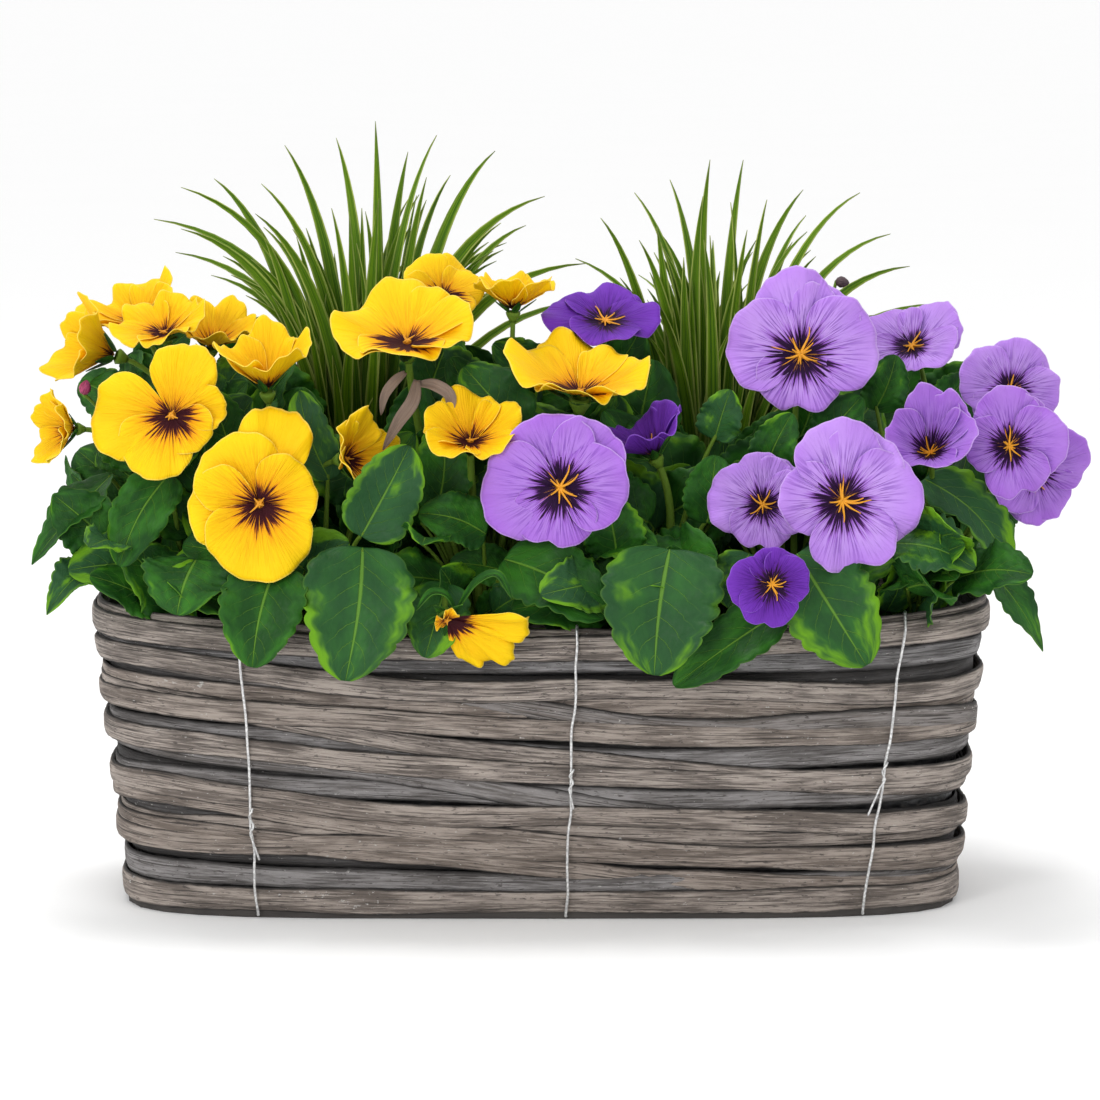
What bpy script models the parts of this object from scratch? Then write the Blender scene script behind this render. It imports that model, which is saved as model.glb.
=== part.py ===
"""Pansy planter: a trough of grey willow strips tied with wire, planted with pansies and two tufts of grass.

Metres, +Z up. The origin is the middle of the base panel's underside. +X runs along the trough to its
right end and -Y is its front. Tables of places and sizes are in millimetres and pass through mm().
"""

import math

import bmesh
import bpy
from mathutils import Matrix, Vector

MM = 0.001

# Driving dimensions of the trough
TOP_HALF_LENGTH = 231 * MM
TOP_HALF_DEPTH = 95 * MM
FOOT_HALF_LENGTH = 216 * MM
FOOT_HALF_DEPTH = 86 * MM
RIM_HEIGHT = 145.5 * MM
PLAN_POWER = 4.5  # exponent of the superellipse that the trough follows in plan
WALL_STATIONS = 28  # points round each loop of the wall
END_RISE = 9.5 * MM  # how far the rim climbs from its middle to its two ends
END_RISE_POWER = 2

# Willow strips, in two layers that lie one behind the other
STRIP_ROWS = 13
STRIP_WIDTH = 12.5 * MM
STRIP_THICKNESS = 3.2 * MM
STRIP_FOOT = 4.8 * MM  # lower edge of the lowest strip
LAYER_STEP = 3.7 * MM  # from the outer layer's face to the inner layer's face
HOOP_WIDTH = 13 * MM
HOOP_TOP = 149 * MM

# Inside the strips
BASE_THICKNESS = 4.3 * MM
BASE_INSET = 2 * MM
LINER_INSET = 8.8 * MM
LINER_WALL = 1.0 * MM
LINER_TOP = 143 * MM
SOIL_TOP = 128 * MM
GAP = 0.4 * MM  # between pieces that touch

# Wire ties
WIRE_RADIUS = 0.6 * MM
WIRE_CLEARANCE = 1.1 * MM  # from the wall's face to the wire's centre line
WIRE_HOOK_REACH = 0.2 * MM  # how far the hook reaches past the hoop's inner face
WIRE_HOOK_CREST = 0.4 * MM  # how far the hook's middle stands above its end
WIRE_HOOK_DROP = 8 * MM  # from the hook to where the wire first lies against the strips
WIRE_STEPS = 6

# Plants
CROWN_HEIGHT = 15 * MM
PANSY_CROWN_RADIUS = 9 * MM
GRASS_CROWN_RADIUS = 14 * MM
LEAF_REACH = 5 * MM  # from a crown's axis to where its leaves begin
STALK_REACH = 3 * MM
BLADE_REACH = 7 * MM
LEAF_THICKNESS = 1.4 * MM
PETIOLE_WIDTH = 3.2 * MM
STALK_RADIUS = 1.5 * MM
STALK_STEPS = 4
STALK_GAP = 0.8 * MM  # between a stalk's tip and the calyx that it carries
CALYX_DEPTH = 0.30  # how far the calyx stands behind the throat, as a share of the bloom's radius
PETAL_THICKNESS = 1.0 * MM
BLOOM_SEGMENTS = 15  # three for each of the five petals
PETAL_NOTCH = 0.86  # the outline's radius between two petals, as a share of the bloom's radius
BLADE_THICKNESS = 0.9 * MM
BLADE_WIDTH = 6.5 * MM
BLADE_TIP_WIDTH = 0.8 * MM

# Wire ties: (name, x at the rim, x at the foot, side), with side -1 at the front and 1 at the back
WIRES = (
    ("front_left", -150, -143, -1),
    ("front_centre", 18, 13, -1),
    ("front_right", 182, 163, -1),
    ("back_left", -150, -146, 1),
    ("back_centre", -4, 2, 1),
    ("back_right", 156, 150, 1),
)

# Grass tufts: crown (x, y) and the tip (x, y, z) of each blade
GRASS = {
    "left": (
        (-95, 34),
        (
            (-202, 38, 345), (-193, 62, 326), (-187, 30, 362), (-172, 58, 365), (-145, 26, 364),
            (-134, 48, 383), (-108, 66, 386), (-108, 14, 352), (-86, 34, 396), (-70, 60, 379),
            (-54, 28, 389), (-48, 74, 366), (-24, 48, 380), (-8, 66, 340), (2, 36, 357),
            (24, 50, 321), (-128, 92, 318), (-88, 98, 334), (-52, 96, 322), (-82, 8, 330),
        ),
    ),
    "right": (
        (88, 34),
        (
            (18, 44, 324), (31, 30, 346), (49, 52, 358), (60, 22, 342), (68, 66, 364),
            (88, 36, 376), (106, 54, 375), (117, 22, 356), (137, 44, 360), (140, 68, 345),
            (166, 34, 359), (184, 58, 336), (192, 30, 321), (208, 46, 300), (52, 90, 312),
            (92, 96, 330), (128, 94, 318), (84, 10, 336),
        ),
    ),
}

# Plants: crown (x, y), then leaves as (blade's base, blade's tip, width, facing azimuth, facing elevation)
# Azimuth 0 faces the front and 90 faces +X
PLANTS = {
    "yellow_left": (
        (-178, -34),
        (
            ((-217, -45, 221), (-258, -72, 183), 31, -40, 50),
            ((-218, -62, 179), (-247, -88, 159), 25, -20, 50),
            ((-186, -72, 224), (-209, -98, 184), 30, 0, 30),
            ((-171, -92, 184), (-179, -116, 162), 44, 0, 45),
            ((-197, -42, 259), (-226, -48, 270), 23, 0, 60),
            ((-222, -28, 200), (-246, -20, 226), 24, -80, 20),
        ),
    ),
    "yellow_middle": (
        (-112, -46),
        (
            ((-131, -98, 182), (-142, -120, 136), 42, 0, 20),
            ((-88, -98, 191), (-96, -124, 130), 55, 0, 20),
            ((-89, -94, 196), (-64, -92, 240), 37, 20, 10),
            ((-156, -58, 232), (-168, -62, 266), 25, 0, 30),
            ((-106, -65, 221), (-121, -62, 265), 24, 0, 20),
            ((-118, -82, 178), (-150, -90, 196), 26, 0, 40),
        ),
    ),
    "yellow_right": (
        (-28, -42),
        (
            ((-47, -92, 172), (-57, -110, 139), 31, 0, 25),
            ((-18, -90, 184), (32, -110, 161), 40, 0, 35),
            ((-10, -55, 245), (-38, -50, 277), 36, 0, 30),
            ((-52, -60, 205), (-50, -56, 250), 30, 0, 10),
            ((16, -46, 196), (20, -40, 244), 30, 0, 15),
        ),
    ),
    "violet_left": (
        (54, -44),
        (
            ((64, -98, 190), (56, -124, 133), 59, 0, 20),
            ((38, -80, 183), (31, -86, 216), 31, 0, 15),
            ((88, -45, 239), (95, -52, 264), 23, 0, 30),
            ((84, -60, 198), (88, -58, 232), 28, 0, 15),
        ),
    ),
    "violet_middle": (
        (128, -46),
        (
            ((120, -99, 160), (66, -117, 127), 28, 0, 30),
            ((127, -98, 188), (160, -124, 138), 49, 0, 20),
            ((113, -62, 226), (125, -68, 254), 23, 0, 30),
            ((141, -45, 235), (161, -48, 261), 25, 0, 30),
            ((104, -84, 186), (94, -92, 160), 28, 0, 25),
        ),
    ),
    "violet_right": (
        (190, -34),
        (
            ((176, -90, 192), (214, -108, 185), 38, 10, 50),
            ((215, -62, 184), (254, -84, 140), 24, 30, 40),
            ((194, -48, 219), (238, -66, 180), 33, 20, 45),
            ((170, -30, 252), (180, -34, 280), 23, 0, 20),
            ((202, -25, 250), (218, -18, 270), 20, 0, 30),
            ((222, -30, 196), (246, -18, 214), 24, 80, 30),
        ),
    ),
    "back_left": (
        (-150, 52),
        (
            ((-196, 62, 190), (-222, 66, 226), 34, -120, 30),
            ((-176, 84, 196), (-188, 118, 160), 46, 190, 20),
            ((-128, 92, 194), (-128, 122, 148), 50, 180, 20),
            ((-214, 30, 196), (-246, 38, 176), 34, -90, 40),
            ((-44, 88, 190), (-56, 120, 146), 46, 180, 20),
        ),
    ),
    "back_right": (
        (140, 56),
        (
            ((190, 66, 194), (218, 70, 230), 34, 120, 30),
            ((168, 88, 192), (182, 120, 152), 46, 175, 20),
            ((112, 94, 194), (106, 124, 146), 50, 180, 20),
            ((212, 34, 196), (244, 40, 172), 34, 90, 40),
            ((34, 90, 192), (22, 120, 148), 46, 180, 20),
        ),
    ),
}

# Blooms: (name, plant, centre of the face, diameter, facing azimuth, facing elevation, depth of the cup)
BLOOMS = (
    ("yellow_01", "yellow_left", (-236, -62, 247), 38, -75, -5, 0.55),
    ("yellow_02", "yellow_left", (-224, -26, 288), 54, -95, 25, 0.30),
    ("yellow_03", "yellow_left", (-207, 4, 305), 46, -140, 45, 0.40),
    ("yellow_04", "yellow_left", (-192, -40, 294), 46, -25, 58, 0.25),
    ("yellow_05", "yellow_left", (-191, -82, 259), 66, -10, 18, 0.08),
    ("yellow_06", "yellow_middle", (-164, -22, 296), 40, 35, 62, 0.35),
    ("yellow_07", "yellow_middle", (-145, -98, 217), 70, 8, 8, 0.06),
    ("yellow_08", "yellow_middle", (-137, -62, 282), 46, 5, 72, 0.50),
    ("yellow_09", "yellow_middle", (-92, -72, 239), 38, 65, 5, 0.60),
    ("yellow_10", "yellow_right", (-67, -52, 292), 69, 0, 58, 0.14),
    ("yellow_11", "yellow_right", (-51, -8, 311), 42, 20, 38, 0.20),
    ("yellow_12", "yellow_right", (-14, -22, 312), 40, 15, 84, 0.40),
    ("yellow_13", "yellow_right", (18, -57, 274), 70, 8, 64, 0.16),
    ("yellow_14", "yellow_right", (-37, -76, 247), 52, 5, 52, 0.20),
    ("yellow_15", "yellow_right", (-28, -116, 156), 42, 40, -25, 0.45),
    ("violet_01", "violet_left", (32, -9, 299), 57, 5, 52, 0.08),
    ("violet_02", "violet_left", (6, -98, 225), 71, -6, 10, 0.07),
    ("violet_03", "violet_left", (58, -54, 240), 40, -90, 62, 0.35),
    ("violet_04", "violet_middle", (131, -46, 289), 80, 0, 12, 0.06),
    ("violet_05", "violet_right", (192, -6, 289), 52, 40, 42, 0.14),
    ("violet_06", "violet_right", (196, -64, 245), 46, -25, 20, 0.30),
    ("violet_07", "violet_right", (243, -26, 267), 50, 30, 15, 0.10),
    ("violet_08", "violet_right", (240, -66, 242), 53, 22, 8, 0.10),
    ("violet_09", "violet_right", (256, -38, 217), 47, 35, -8, 0.12),
    ("violet_10", "violet_middle", (108, -78, 214), 51, -4, 8, 0.08),
    ("violet_11", "violet_middle", (154, -101, 219), 73, 4, 6, 0.07),
    ("violet_12", "violet_middle", (110, -126, 171), 42, 4, 4, 0.12),
)

COLOURS = {
    "willow_front": ((0.30, 0.26, 0.22), 0.85, 0.0),
    "willow_back": ((0.23, 0.22, 0.21), 0.88, 0.0),
    "base_board": ((0.05, 0.05, 0.05), 0.70, 0.0),
    "liner_film": ((0.02, 0.02, 0.02), 0.45, 0.0),
    "soil": ((0.06, 0.04, 0.03), 0.95, 0.0),
    "wire": ((0.62, 0.62, 0.62), 0.35, 1.0),
    "grass": ((0.12, 0.24, 0.04), 0.50, 0.0),
    "foliage": ((0.05, 0.20, 0.04), 0.45, 0.0),
    "petal_yellow": ((0.95, 0.66, 0.02), 0.55, 0.0),
    "petal_violet": ((0.42, 0.24, 0.78), 0.55, 0.0),
}


def mm(point):
    """A point or vector in millimetres, in metres."""
    return Vector(point) * MM


def material(name):
    found = bpy.data.materials.get(name)
    if found:
        return found
    colour, roughness, metallic = COLOURS[name]
    made = bpy.data.materials.new(name)
    made.use_nodes = True
    shader = made.node_tree.nodes["Principled BSDF"]
    shader.inputs["Base Color"].default_value = (*colour, 1.0)
    shader.inputs["Roughness"].default_value = roughness
    shader.inputs["Metallic"].default_value = metallic
    made.diffuse_color = (*colour, 1.0)
    return made


def new_collection(name, helper=False):
    made = bpy.data.collections.new(name)
    made.hide_render = helper
    bpy.context.scene.collection.children.link(made)
    return made


def mesh_object(name, bm, collection, material_name):
    mesh = bpy.data.meshes.new(name)
    bm.to_mesh(mesh)
    bm.free()
    mesh.materials.append(material(material_name))
    made = bpy.data.objects.new(name, mesh)
    collection.objects.link(made)
    return made


def solidify(obj, thickness, offset):
    modifier = obj.modifiers.new("thickness", "SOLIDIFY")
    modifier.thickness = thickness
    modifier.offset = offset
    modifier.use_even_offset = False


def facing(azimuth, elevation):
    """The unit vector of a direction: azimuth 0 faces -Y and 90 faces +X."""
    azimuth, elevation = math.radians(azimuth), math.radians(elevation)
    flat = math.cos(elevation)
    return Vector((math.sin(azimuth) * flat, -math.cos(azimuth) * flat, math.sin(elevation)))


# ---- the trough ----


def half_sizes(height, inset):
    """Half length and half depth of the wall at a height, inset from its face."""
    share = height / RIM_HEIGHT
    length = FOOT_HALF_LENGTH + (TOP_HALF_LENGTH - FOOT_HALF_LENGTH) * share
    depth = FOOT_HALF_DEPTH + (TOP_HALF_DEPTH - FOOT_HALF_DEPTH) * share
    return length - inset, depth - inset


def wall_point(station, height, inset, end_rise):
    """A point of the wall's plan curve at a height. The rise towards the ends grows with height."""
    angle = math.tau * station / WALL_STATIONS
    half_length, half_depth = half_sizes(height, inset)
    power = 2 / PLAN_POWER
    x = math.copysign(abs(math.cos(angle)) ** power, math.cos(angle)) * half_length
    y = math.copysign(abs(math.sin(angle)) ** power, math.sin(angle)) * half_depth
    rise = end_rise * (height / RIM_HEIGHT) * (x / half_length) ** END_RISE_POWER
    return Vector((x, y, height + rise))


def wall_face_y(x, height, side):
    """Where the outer face of the wall is at x: side -1 is the front and 1 the back."""
    half_length, half_depth = half_sizes(height, 0)
    share = min(1.0, abs(x) / half_length)
    return side * half_depth * (1 - share**PLAN_POWER) ** (1 / PLAN_POWER)


def first_loop(bm, height, inset, end_rise=END_RISE):
    """A closed loop of edges round the plan curve."""
    corners = [bm.verts.new(wall_point(k, height, inset, end_rise)) for k in range(WALL_STATIONS)]
    return [bm.edges.new((corners[k - 1], corners[k])) for k in range(WALL_STATIONS)]


def extrude_loop(bm, edges):
    """Extrudes a closed loop of edges. Returns the new edges, and the old corner behind each new corner."""
    old = {v for e in edges for v in e.verts}
    extruded = bmesh.ops.extrude_edge_only(bm, edges=edges)["geom"]
    made = [e for e in extruded if isinstance(e, bmesh.types.BMEdge)]
    corners = {v for e in made for v in e.verts}
    behind = {v: next(e.other_vert(v) for e in v.link_edges if e.other_vert(v) in old) for v in corners}
    return made, behind


def next_loop(bm, edges, height, inset, end_rise=END_RISE):
    """Extrudes a loop of the wall to another height and inset, and returns the new loop."""
    stations = {v: k for k, v in enumerate(loop_corners(edges))}
    made, behind = extrude_loop(bm, edges)
    for corner, start in behind.items():
        corner.co = wall_point(stations[start], height, inset, end_rise)
    return made


def loop_corners(edges):
    """The corners of a loop in the plan curve's order, starting on +X."""

    def turn(corner):
        return math.atan2(corner.co.y, corner.co.x) % math.tau

    corners = {v for e in edges for v in e.verts}
    ordered = sorted(corners, key=turn)
    if turn(ordered[-1]) > math.tau - 1e-4:
        ordered.insert(0, ordered.pop())
    return ordered


def wall_band(name, low, high, inset, thickness, material_name, collection):
    """One strip that runs right round the trough between two heights."""
    bm = bmesh.new()
    next_loop(bm, first_loop(bm, low, inset), high, inset)
    bmesh.ops.recalc_face_normals(bm, faces=bm.faces)
    band = mesh_object(name, bm, collection, material_name)
    solidify(band, thickness, -1)
    return band


def wall_block(name, levels, material_name, collection):
    """A flat-topped solid that fills the plan curve, through (height, inset) levels from bottom to top."""
    bm = bmesh.new()
    loop = first_loop(bm, *levels[0], end_rise=0)
    bmesh.ops.contextual_create(bm, geom=loop)
    for height, inset in levels[1:]:
        loop = next_loop(bm, loop, height, inset, end_rise=0)
    bmesh.ops.contextual_create(bm, geom=loop)
    bmesh.ops.recalc_face_normals(bm, faces=bm.faces)
    return mesh_object(name, bm, collection, material_name)


def build_strips(collection):
    """Rows of willow, even ones in the outer layer and odd ones behind them, and the hoop inside the rim."""
    pitch = (RIM_HEIGHT - STRIP_WIDTH - STRIP_FOOT) / (STRIP_ROWS - 1)
    for row in range(STRIP_ROWS):
        low = STRIP_FOOT + pitch * row
        behind = row % 2
        wall_band(
            f"willow_strip_{row + 1:02d}",
            low,
            low + STRIP_WIDTH,
            LAYER_STEP * behind,
            STRIP_THICKNESS,
            "willow_back" if behind else "willow_front",
            collection,
        )
    low = HOOP_TOP - HOOP_WIDTH
    wall_band("rim_hoop", low, HOOP_TOP, LAYER_STEP, STRIP_THICKNESS, "willow_front", collection)


def build_inside(collection):
    """The base panel, the film liner that stands on it and the soil in the liner."""
    wall_block("base_panel", ((0, BASE_INSET), (BASE_THICKNESS, BASE_INSET)), "base_board", collection)
    floor = STRIP_FOOT
    bm = bmesh.new()
    loop = first_loop(bm, floor, LINER_INSET, end_rise=0)
    bmesh.ops.contextual_create(bm, geom=loop)
    next_loop(bm, loop, LINER_TOP, LINER_INSET, end_rise=0)
    bmesh.ops.recalc_face_normals(bm, faces=bm.faces)
    liner = mesh_object("liner_film", bm, collection, "liner_film")
    solidify(liner, LINER_WALL, -1)
    inset = LINER_INSET + LINER_WALL + GAP
    bottom = floor + LINER_WALL + GAP
    wall_block("soil", ((bottom, inset), (SOIL_TOP, inset)), "soil", collection)


def wire_tie(name, rim_x, foot_x, side, collection):
    """A wire that hooks over the rim, runs down the strips and turns in under the lowest one."""
    rim_x, foot_x = rim_x * MM, foot_x * MM
    over = HOOP_TOP + END_RISE * (rim_x / TOP_HALF_LENGTH) ** END_RISE_POWER + 2 * WIRE_CLEARANCE
    face = wall_face_y(rim_x, RIM_HEIGHT, side)
    inward = -side
    points = [
        (rim_x, face + inward * (LAYER_STEP + STRIP_THICKNESS + WIRE_HOOK_REACH), over),
        (rim_x, face + inward * LAYER_STEP / 2, over + WIRE_HOOK_CREST),
        (rim_x, face - inward * WIRE_CLEARANCE, over - WIRE_HOOK_DROP / 4),
    ]
    for step in range(WIRE_STEPS + 1):
        share = step / WIRE_STEPS
        height = over - WIRE_HOOK_DROP + (STRIP_FOOT - over + WIRE_HOOK_DROP) * share
        x = rim_x + (foot_x - rim_x) * share
        y = wall_face_y(x, height, side) - inward * WIRE_CLEARANCE
        points.append((x, y, height))
    curve = bpy.data.curves.new(name, "CURVE")
    curve.dimensions = "3D"
    curve.bevel_depth = WIRE_RADIUS
    curve.bevel_resolution = 1
    curve.use_fill_caps = True
    spline = curve.splines.new("POLY")
    spline.points.add(len(points) - 1)
    for place, point in zip(spline.points, points):
        place.co = (*point, 1.0)
    curve.materials.append(material("wire"))
    collection.objects.link(bpy.data.objects.new(name, curve))


# ---- the plants ----


def ribbon(centres, sides, widths, columns):
    """A strip of faces along a line of centres: a grid whose rows are placed one by one."""
    bm = bmesh.new()
    bmesh.ops.create_grid(bm, x_segments=columns, y_segments=len(centres) - 1, size=1.0)
    corners = sorted(bm.verts, key=lambda v: (round(v.co.y, 4), v.co.x))
    for number, corner in enumerate(corners):
        row, column = divmod(number, columns + 1)
        across = column / columns - 0.5
        corner.co = centres[row] + sides[row] * widths[row] * across
    return bm


def bezier(start, middle, end, share):
    return start * (1 - share) ** 2 + middle * 2 * share * (1 - share) + end * share**2


def square_to(vector, direction):
    """The part of vector that is square to direction, as a unit vector."""
    return (vector - direction * vector.dot(direction)).normalized()


def inside_crown(crown, goal, reach):
    """Where a growth that heads for goal leaves the crown's middle."""
    heading = ((goal - crown) * Vector((1, 1, 0))).normalized()
    return crown + heading * reach + Vector((0, 0, 0.45 * CROWN_HEIGHT))


def leaf(name, crown, base, tip, width, azimuth, elevation, collection):
    """A leaf with its petiole: a ribbon from inside the crown that widens into an ovate blade."""
    along = (tip - base).normalized()
    side = along.cross(square_to(facing(azimuth, elevation), along))
    start = inside_crown(crown, base, LEAF_REACH)
    bend = start.lerp(base, 0.5) + Vector((0, 0, 0.2 * (base - start).length))
    droop = facing(azimuth, elevation) * 0.08 * (tip - base).length
    centres = [start, bezier(start, bend, base, 0.55)]
    widths = [PETIOLE_WIDTH] * 2
    for share in (0, 0.22, 0.52, 0.80, 1):
        centres.append(base.lerp(tip, share) + droop * math.sin(math.pi * share))
        widths.append(max(PETIOLE_WIDTH, width * math.sin(math.pi * share**0.85) ** 0.8))
    widths[-1] = 0.12 * width
    sides = []
    for row, centre in enumerate(centres):
        ahead = centres[min(row + 1, len(centres) - 1)] - centres[max(row - 1, 0)]
        sides.append(square_to(side, ahead.normalized()))
    made = mesh_object(name, ribbon(centres, sides, widths, 2), collection, "foliage")
    solidify(made, LEAF_THICKNESS, 0)
    return made


def stalk(name, crown, end, towards, collection):
    """A flower's stalk, from inside the crown to the back of the calyx, which it meets along its axis."""
    start = inside_crown(crown, end, STALK_REACH)
    middle = end - towards * 0.35 * (end - start).length
    curve = bpy.data.curves.new(name, "CURVE")
    curve.dimensions = "3D"
    curve.bevel_depth = STALK_RADIUS
    curve.bevel_resolution = 0
    curve.use_fill_caps = True
    spline = curve.splines.new("POLY")
    spline.points.add(STALK_STEPS)
    for step, place in enumerate(spline.points):
        place.co = (*bezier(start, middle, end, step / STALK_STEPS), 1.0)
    holder = bpy.data.objects.new(name + "_curve", curve)
    bpy.context.scene.collection.objects.link(holder)
    bpy.context.view_layer.update()
    mesh = bpy.data.meshes.new_from_object(holder.evaluated_get(bpy.context.evaluated_depsgraph_get()))
    bpy.data.objects.remove(holder)
    bm = bmesh.new()
    bm.from_mesh(mesh)
    bpy.data.meshes.remove(mesh)
    bmesh.ops.remove_doubles(bm, verts=bm.verts, dist=0.01 * MM)
    return mesh_object(name, bm, collection, "foliage")


def crown_cone(name, crown, radius, collection, material_name):
    """The plant's crown: a low blunt cone that stands on the soil."""
    bm = bmesh.new()
    bmesh.ops.create_cone(
        bm, cap_ends=True, segments=8, radius1=radius, radius2=0.6 * radius, depth=CROWN_HEIGHT
    )
    bmesh.ops.translate(bm, verts=bm.verts, vec=crown + Vector((0, 0, CROWN_HEIGHT / 2)))
    return mesh_object(name, bm, collection, material_name)


def join_all(body, growths):
    """Unites every object of the collection with the body."""
    modifier = body.modifiers.new("growths", "BOOLEAN")
    modifier.operation = "UNION"
    modifier.operand_type = "COLLECTION"
    modifier.collection = growths


def crown_place(x, y):
    return mm((x, y, 0)) + Vector((0, 0, SOIL_TOP + GAP))


def build_plants(collection):
    """Each plant's crown, leaves and flower stalks as one grown piece."""
    for plant, ((x, y), leaves) in PLANTS.items():
        crown = crown_place(x, y)
        growths = new_collection(f"growths_{plant}", helper=True)
        for number, (base, tip, width, azimuth, elevation) in enumerate(leaves):
            name = f"{plant}_leaf_{number + 1}"
            leaf(name, crown, mm(base), mm(tip), width * MM, azimuth, elevation, growths)
        for name, owner, centre, diameter, azimuth, elevation, _ in BLOOMS:
            if owner == plant:
                towards = facing(azimuth, elevation)
                back = CALYX_DEPTH * diameter * MM / 2 + STALK_GAP
                stalk(f"{name}_stalk", crown, mm(centre) - towards * back, towards, growths)
        for growth in growths.objects:
            growth.hide_render = True
            growth.display_type = "WIRE"
        body = crown_cone(f"pansy_plant_{plant}", crown, PANSY_CROWN_RADIUS, collection, "foliage")
        join_all(body, growths)


def place_bloom_loop(turns, radius, share, height, lobed):
    """Puts a loop's corners at their turns round the bloom, drawn in between two petals."""
    for corner, turn in turns.items():
        between = round(turn / math.tau * BLOOM_SEGMENTS) % 3 == 0
        reach = radius * share * (PETAL_NOTCH if lobed and between else 1.0)
        corner.co = (reach * math.sin(turn), reach * math.cos(turn), height * radius)


def bloom(name, centre, diameter, azimuth, elevation, cup, collection):
    """A pansy's five-petalled face with its calyx: loops extruded from the calyx to the rim and back in."""
    radius = diameter * MM / 2
    loops = (  # (share of the radius, height along the bloom's axis in radii, whether the petals show)
        (0.10, -CALYX_DEPTH, False),
        (0.16, -0.10, False),
        (1.00, cup, True),
        (1.00, cup + PETAL_THICKNESS / radius, True),
        (0.12, 0.02, False),
    )
    bm = bmesh.new()
    ring = bmesh.ops.create_circle(bm, segments=BLOOM_SEGMENTS, radius=1.0, cap_ends=True)["verts"]
    turns = {corner: math.tau * k / BLOOM_SEGMENTS for k, corner in enumerate(ring)}
    edges = list(bm.edges)
    place_bloom_loop(turns, radius, *loops[0])
    for loop in loops[1:]:
        edges, behind = extrude_loop(bm, edges)
        turns = {corner: turns[start] for corner, start in behind.items()}
        place_bloom_loop(turns, radius, *loop)
    bmesh.ops.contextual_create(bm, geom=edges)
    bmesh.ops.recalc_face_normals(bm, faces=bm.faces)
    colour = "petal_yellow" if name.startswith("yellow") else "petal_violet"
    made = mesh_object(f"bloom_{name}", bm, collection, colour)
    made.matrix_world = Matrix.Translation(mm(centre)) @ bloom_axes(azimuth, elevation)


def bloom_axes(azimuth, elevation):
    """A bloom's axes: Z out of its face, Y towards its upper petals and X across it."""
    out = facing(azimuth, elevation)
    across = Vector((math.cos(math.radians(azimuth)), math.sin(math.radians(azimuth)), 0))
    upper = out.cross(across)
    return Matrix((across, upper, out)).transposed().to_4x4()


def blade(name, crown, tip, collection):
    """A grass blade: a tapering ribbon that leaves the crown steeply and arches over to its tip."""
    outward = (tip - crown) * Vector((1, 1, 0))
    turned = Vector((-outward.y, outward.x, 0)).normalized()
    start = crown + outward.normalized() * BLADE_REACH + Vector((0, 0, 0.3 * CROWN_HEIGHT))
    bend = start + outward * 0.32 + Vector((0, 0, 0.62 * (tip.z - start.z)))
    shares = (0, 0.2, 0.42, 0.64, 0.84, 1)
    centres = [bezier(start, bend, tip, share) for share in shares]
    widths = [BLADE_WIDTH * (1 - share**2.5) + BLADE_TIP_WIDTH for share in shares]
    made = mesh_object(name, ribbon(centres, [turned] * len(shares), widths, 1), collection, "grass")
    solidify(made, BLADE_THICKNESS, 0)
    return made


def build_grass(collection):
    for tuft, ((x, y), tips) in GRASS.items():
        crown = crown_place(x, y)
        growths = new_collection(f"growths_grass_{tuft}", helper=True)
        for number, tip in enumerate(tips):
            growth = blade(f"grass_{tuft}_blade_{number + 1:02d}", crown, mm(tip), growths)
            growth.hide_render = True
            growth.display_type = "WIRE"
        body = crown_cone(f"grass_tuft_{tuft}", crown, GRASS_CROWN_RADIUS, collection, "grass")
        join_all(body, growths)


def main():
    for old in list(bpy.data.objects):
        bpy.data.objects.remove(old)
    planter = new_collection("pansy_planter")
    build_strips(planter)
    build_inside(planter)
    for name, rim_x, foot_x, side in WIRES:
        wire_tie(f"wire_tie_{name}", rim_x, foot_x, side, planter)
    build_plants(planter)
    for name, _, centre, diameter, azimuth, elevation, cup in BLOOMS:
        bloom(name, centre, diameter, azimuth, elevation, cup, planter)
    build_grass(planter)


main()
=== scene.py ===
"""The looks of the pansy planter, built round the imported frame.

Metres, +Z up, in the frame's own axes: +X to the right, -Y to the front. Tables of places and sizes
are in millimetres and pass through mm(). Every mesh is one or more grids of points. Each corner of a
grid carries two maps that its material reads: "pattern" places veins, streaks and grain, and "finish"
says which part of the piece it is.
"""

import math
import random

import bpy
import numpy as np
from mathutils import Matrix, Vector, noise

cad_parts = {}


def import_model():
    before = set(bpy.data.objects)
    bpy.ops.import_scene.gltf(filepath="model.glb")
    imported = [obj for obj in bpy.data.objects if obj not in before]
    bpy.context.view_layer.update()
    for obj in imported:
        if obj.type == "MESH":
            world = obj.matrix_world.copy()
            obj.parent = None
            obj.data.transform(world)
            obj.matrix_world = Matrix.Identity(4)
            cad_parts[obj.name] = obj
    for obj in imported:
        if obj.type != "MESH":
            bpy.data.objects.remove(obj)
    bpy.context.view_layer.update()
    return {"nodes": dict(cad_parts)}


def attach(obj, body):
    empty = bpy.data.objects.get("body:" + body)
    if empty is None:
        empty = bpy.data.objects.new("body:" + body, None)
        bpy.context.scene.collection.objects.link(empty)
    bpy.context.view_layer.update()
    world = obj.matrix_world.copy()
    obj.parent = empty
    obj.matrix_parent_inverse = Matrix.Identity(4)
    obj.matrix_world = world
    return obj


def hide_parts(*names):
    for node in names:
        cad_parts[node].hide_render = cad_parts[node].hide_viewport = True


MM = 0.001

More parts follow.
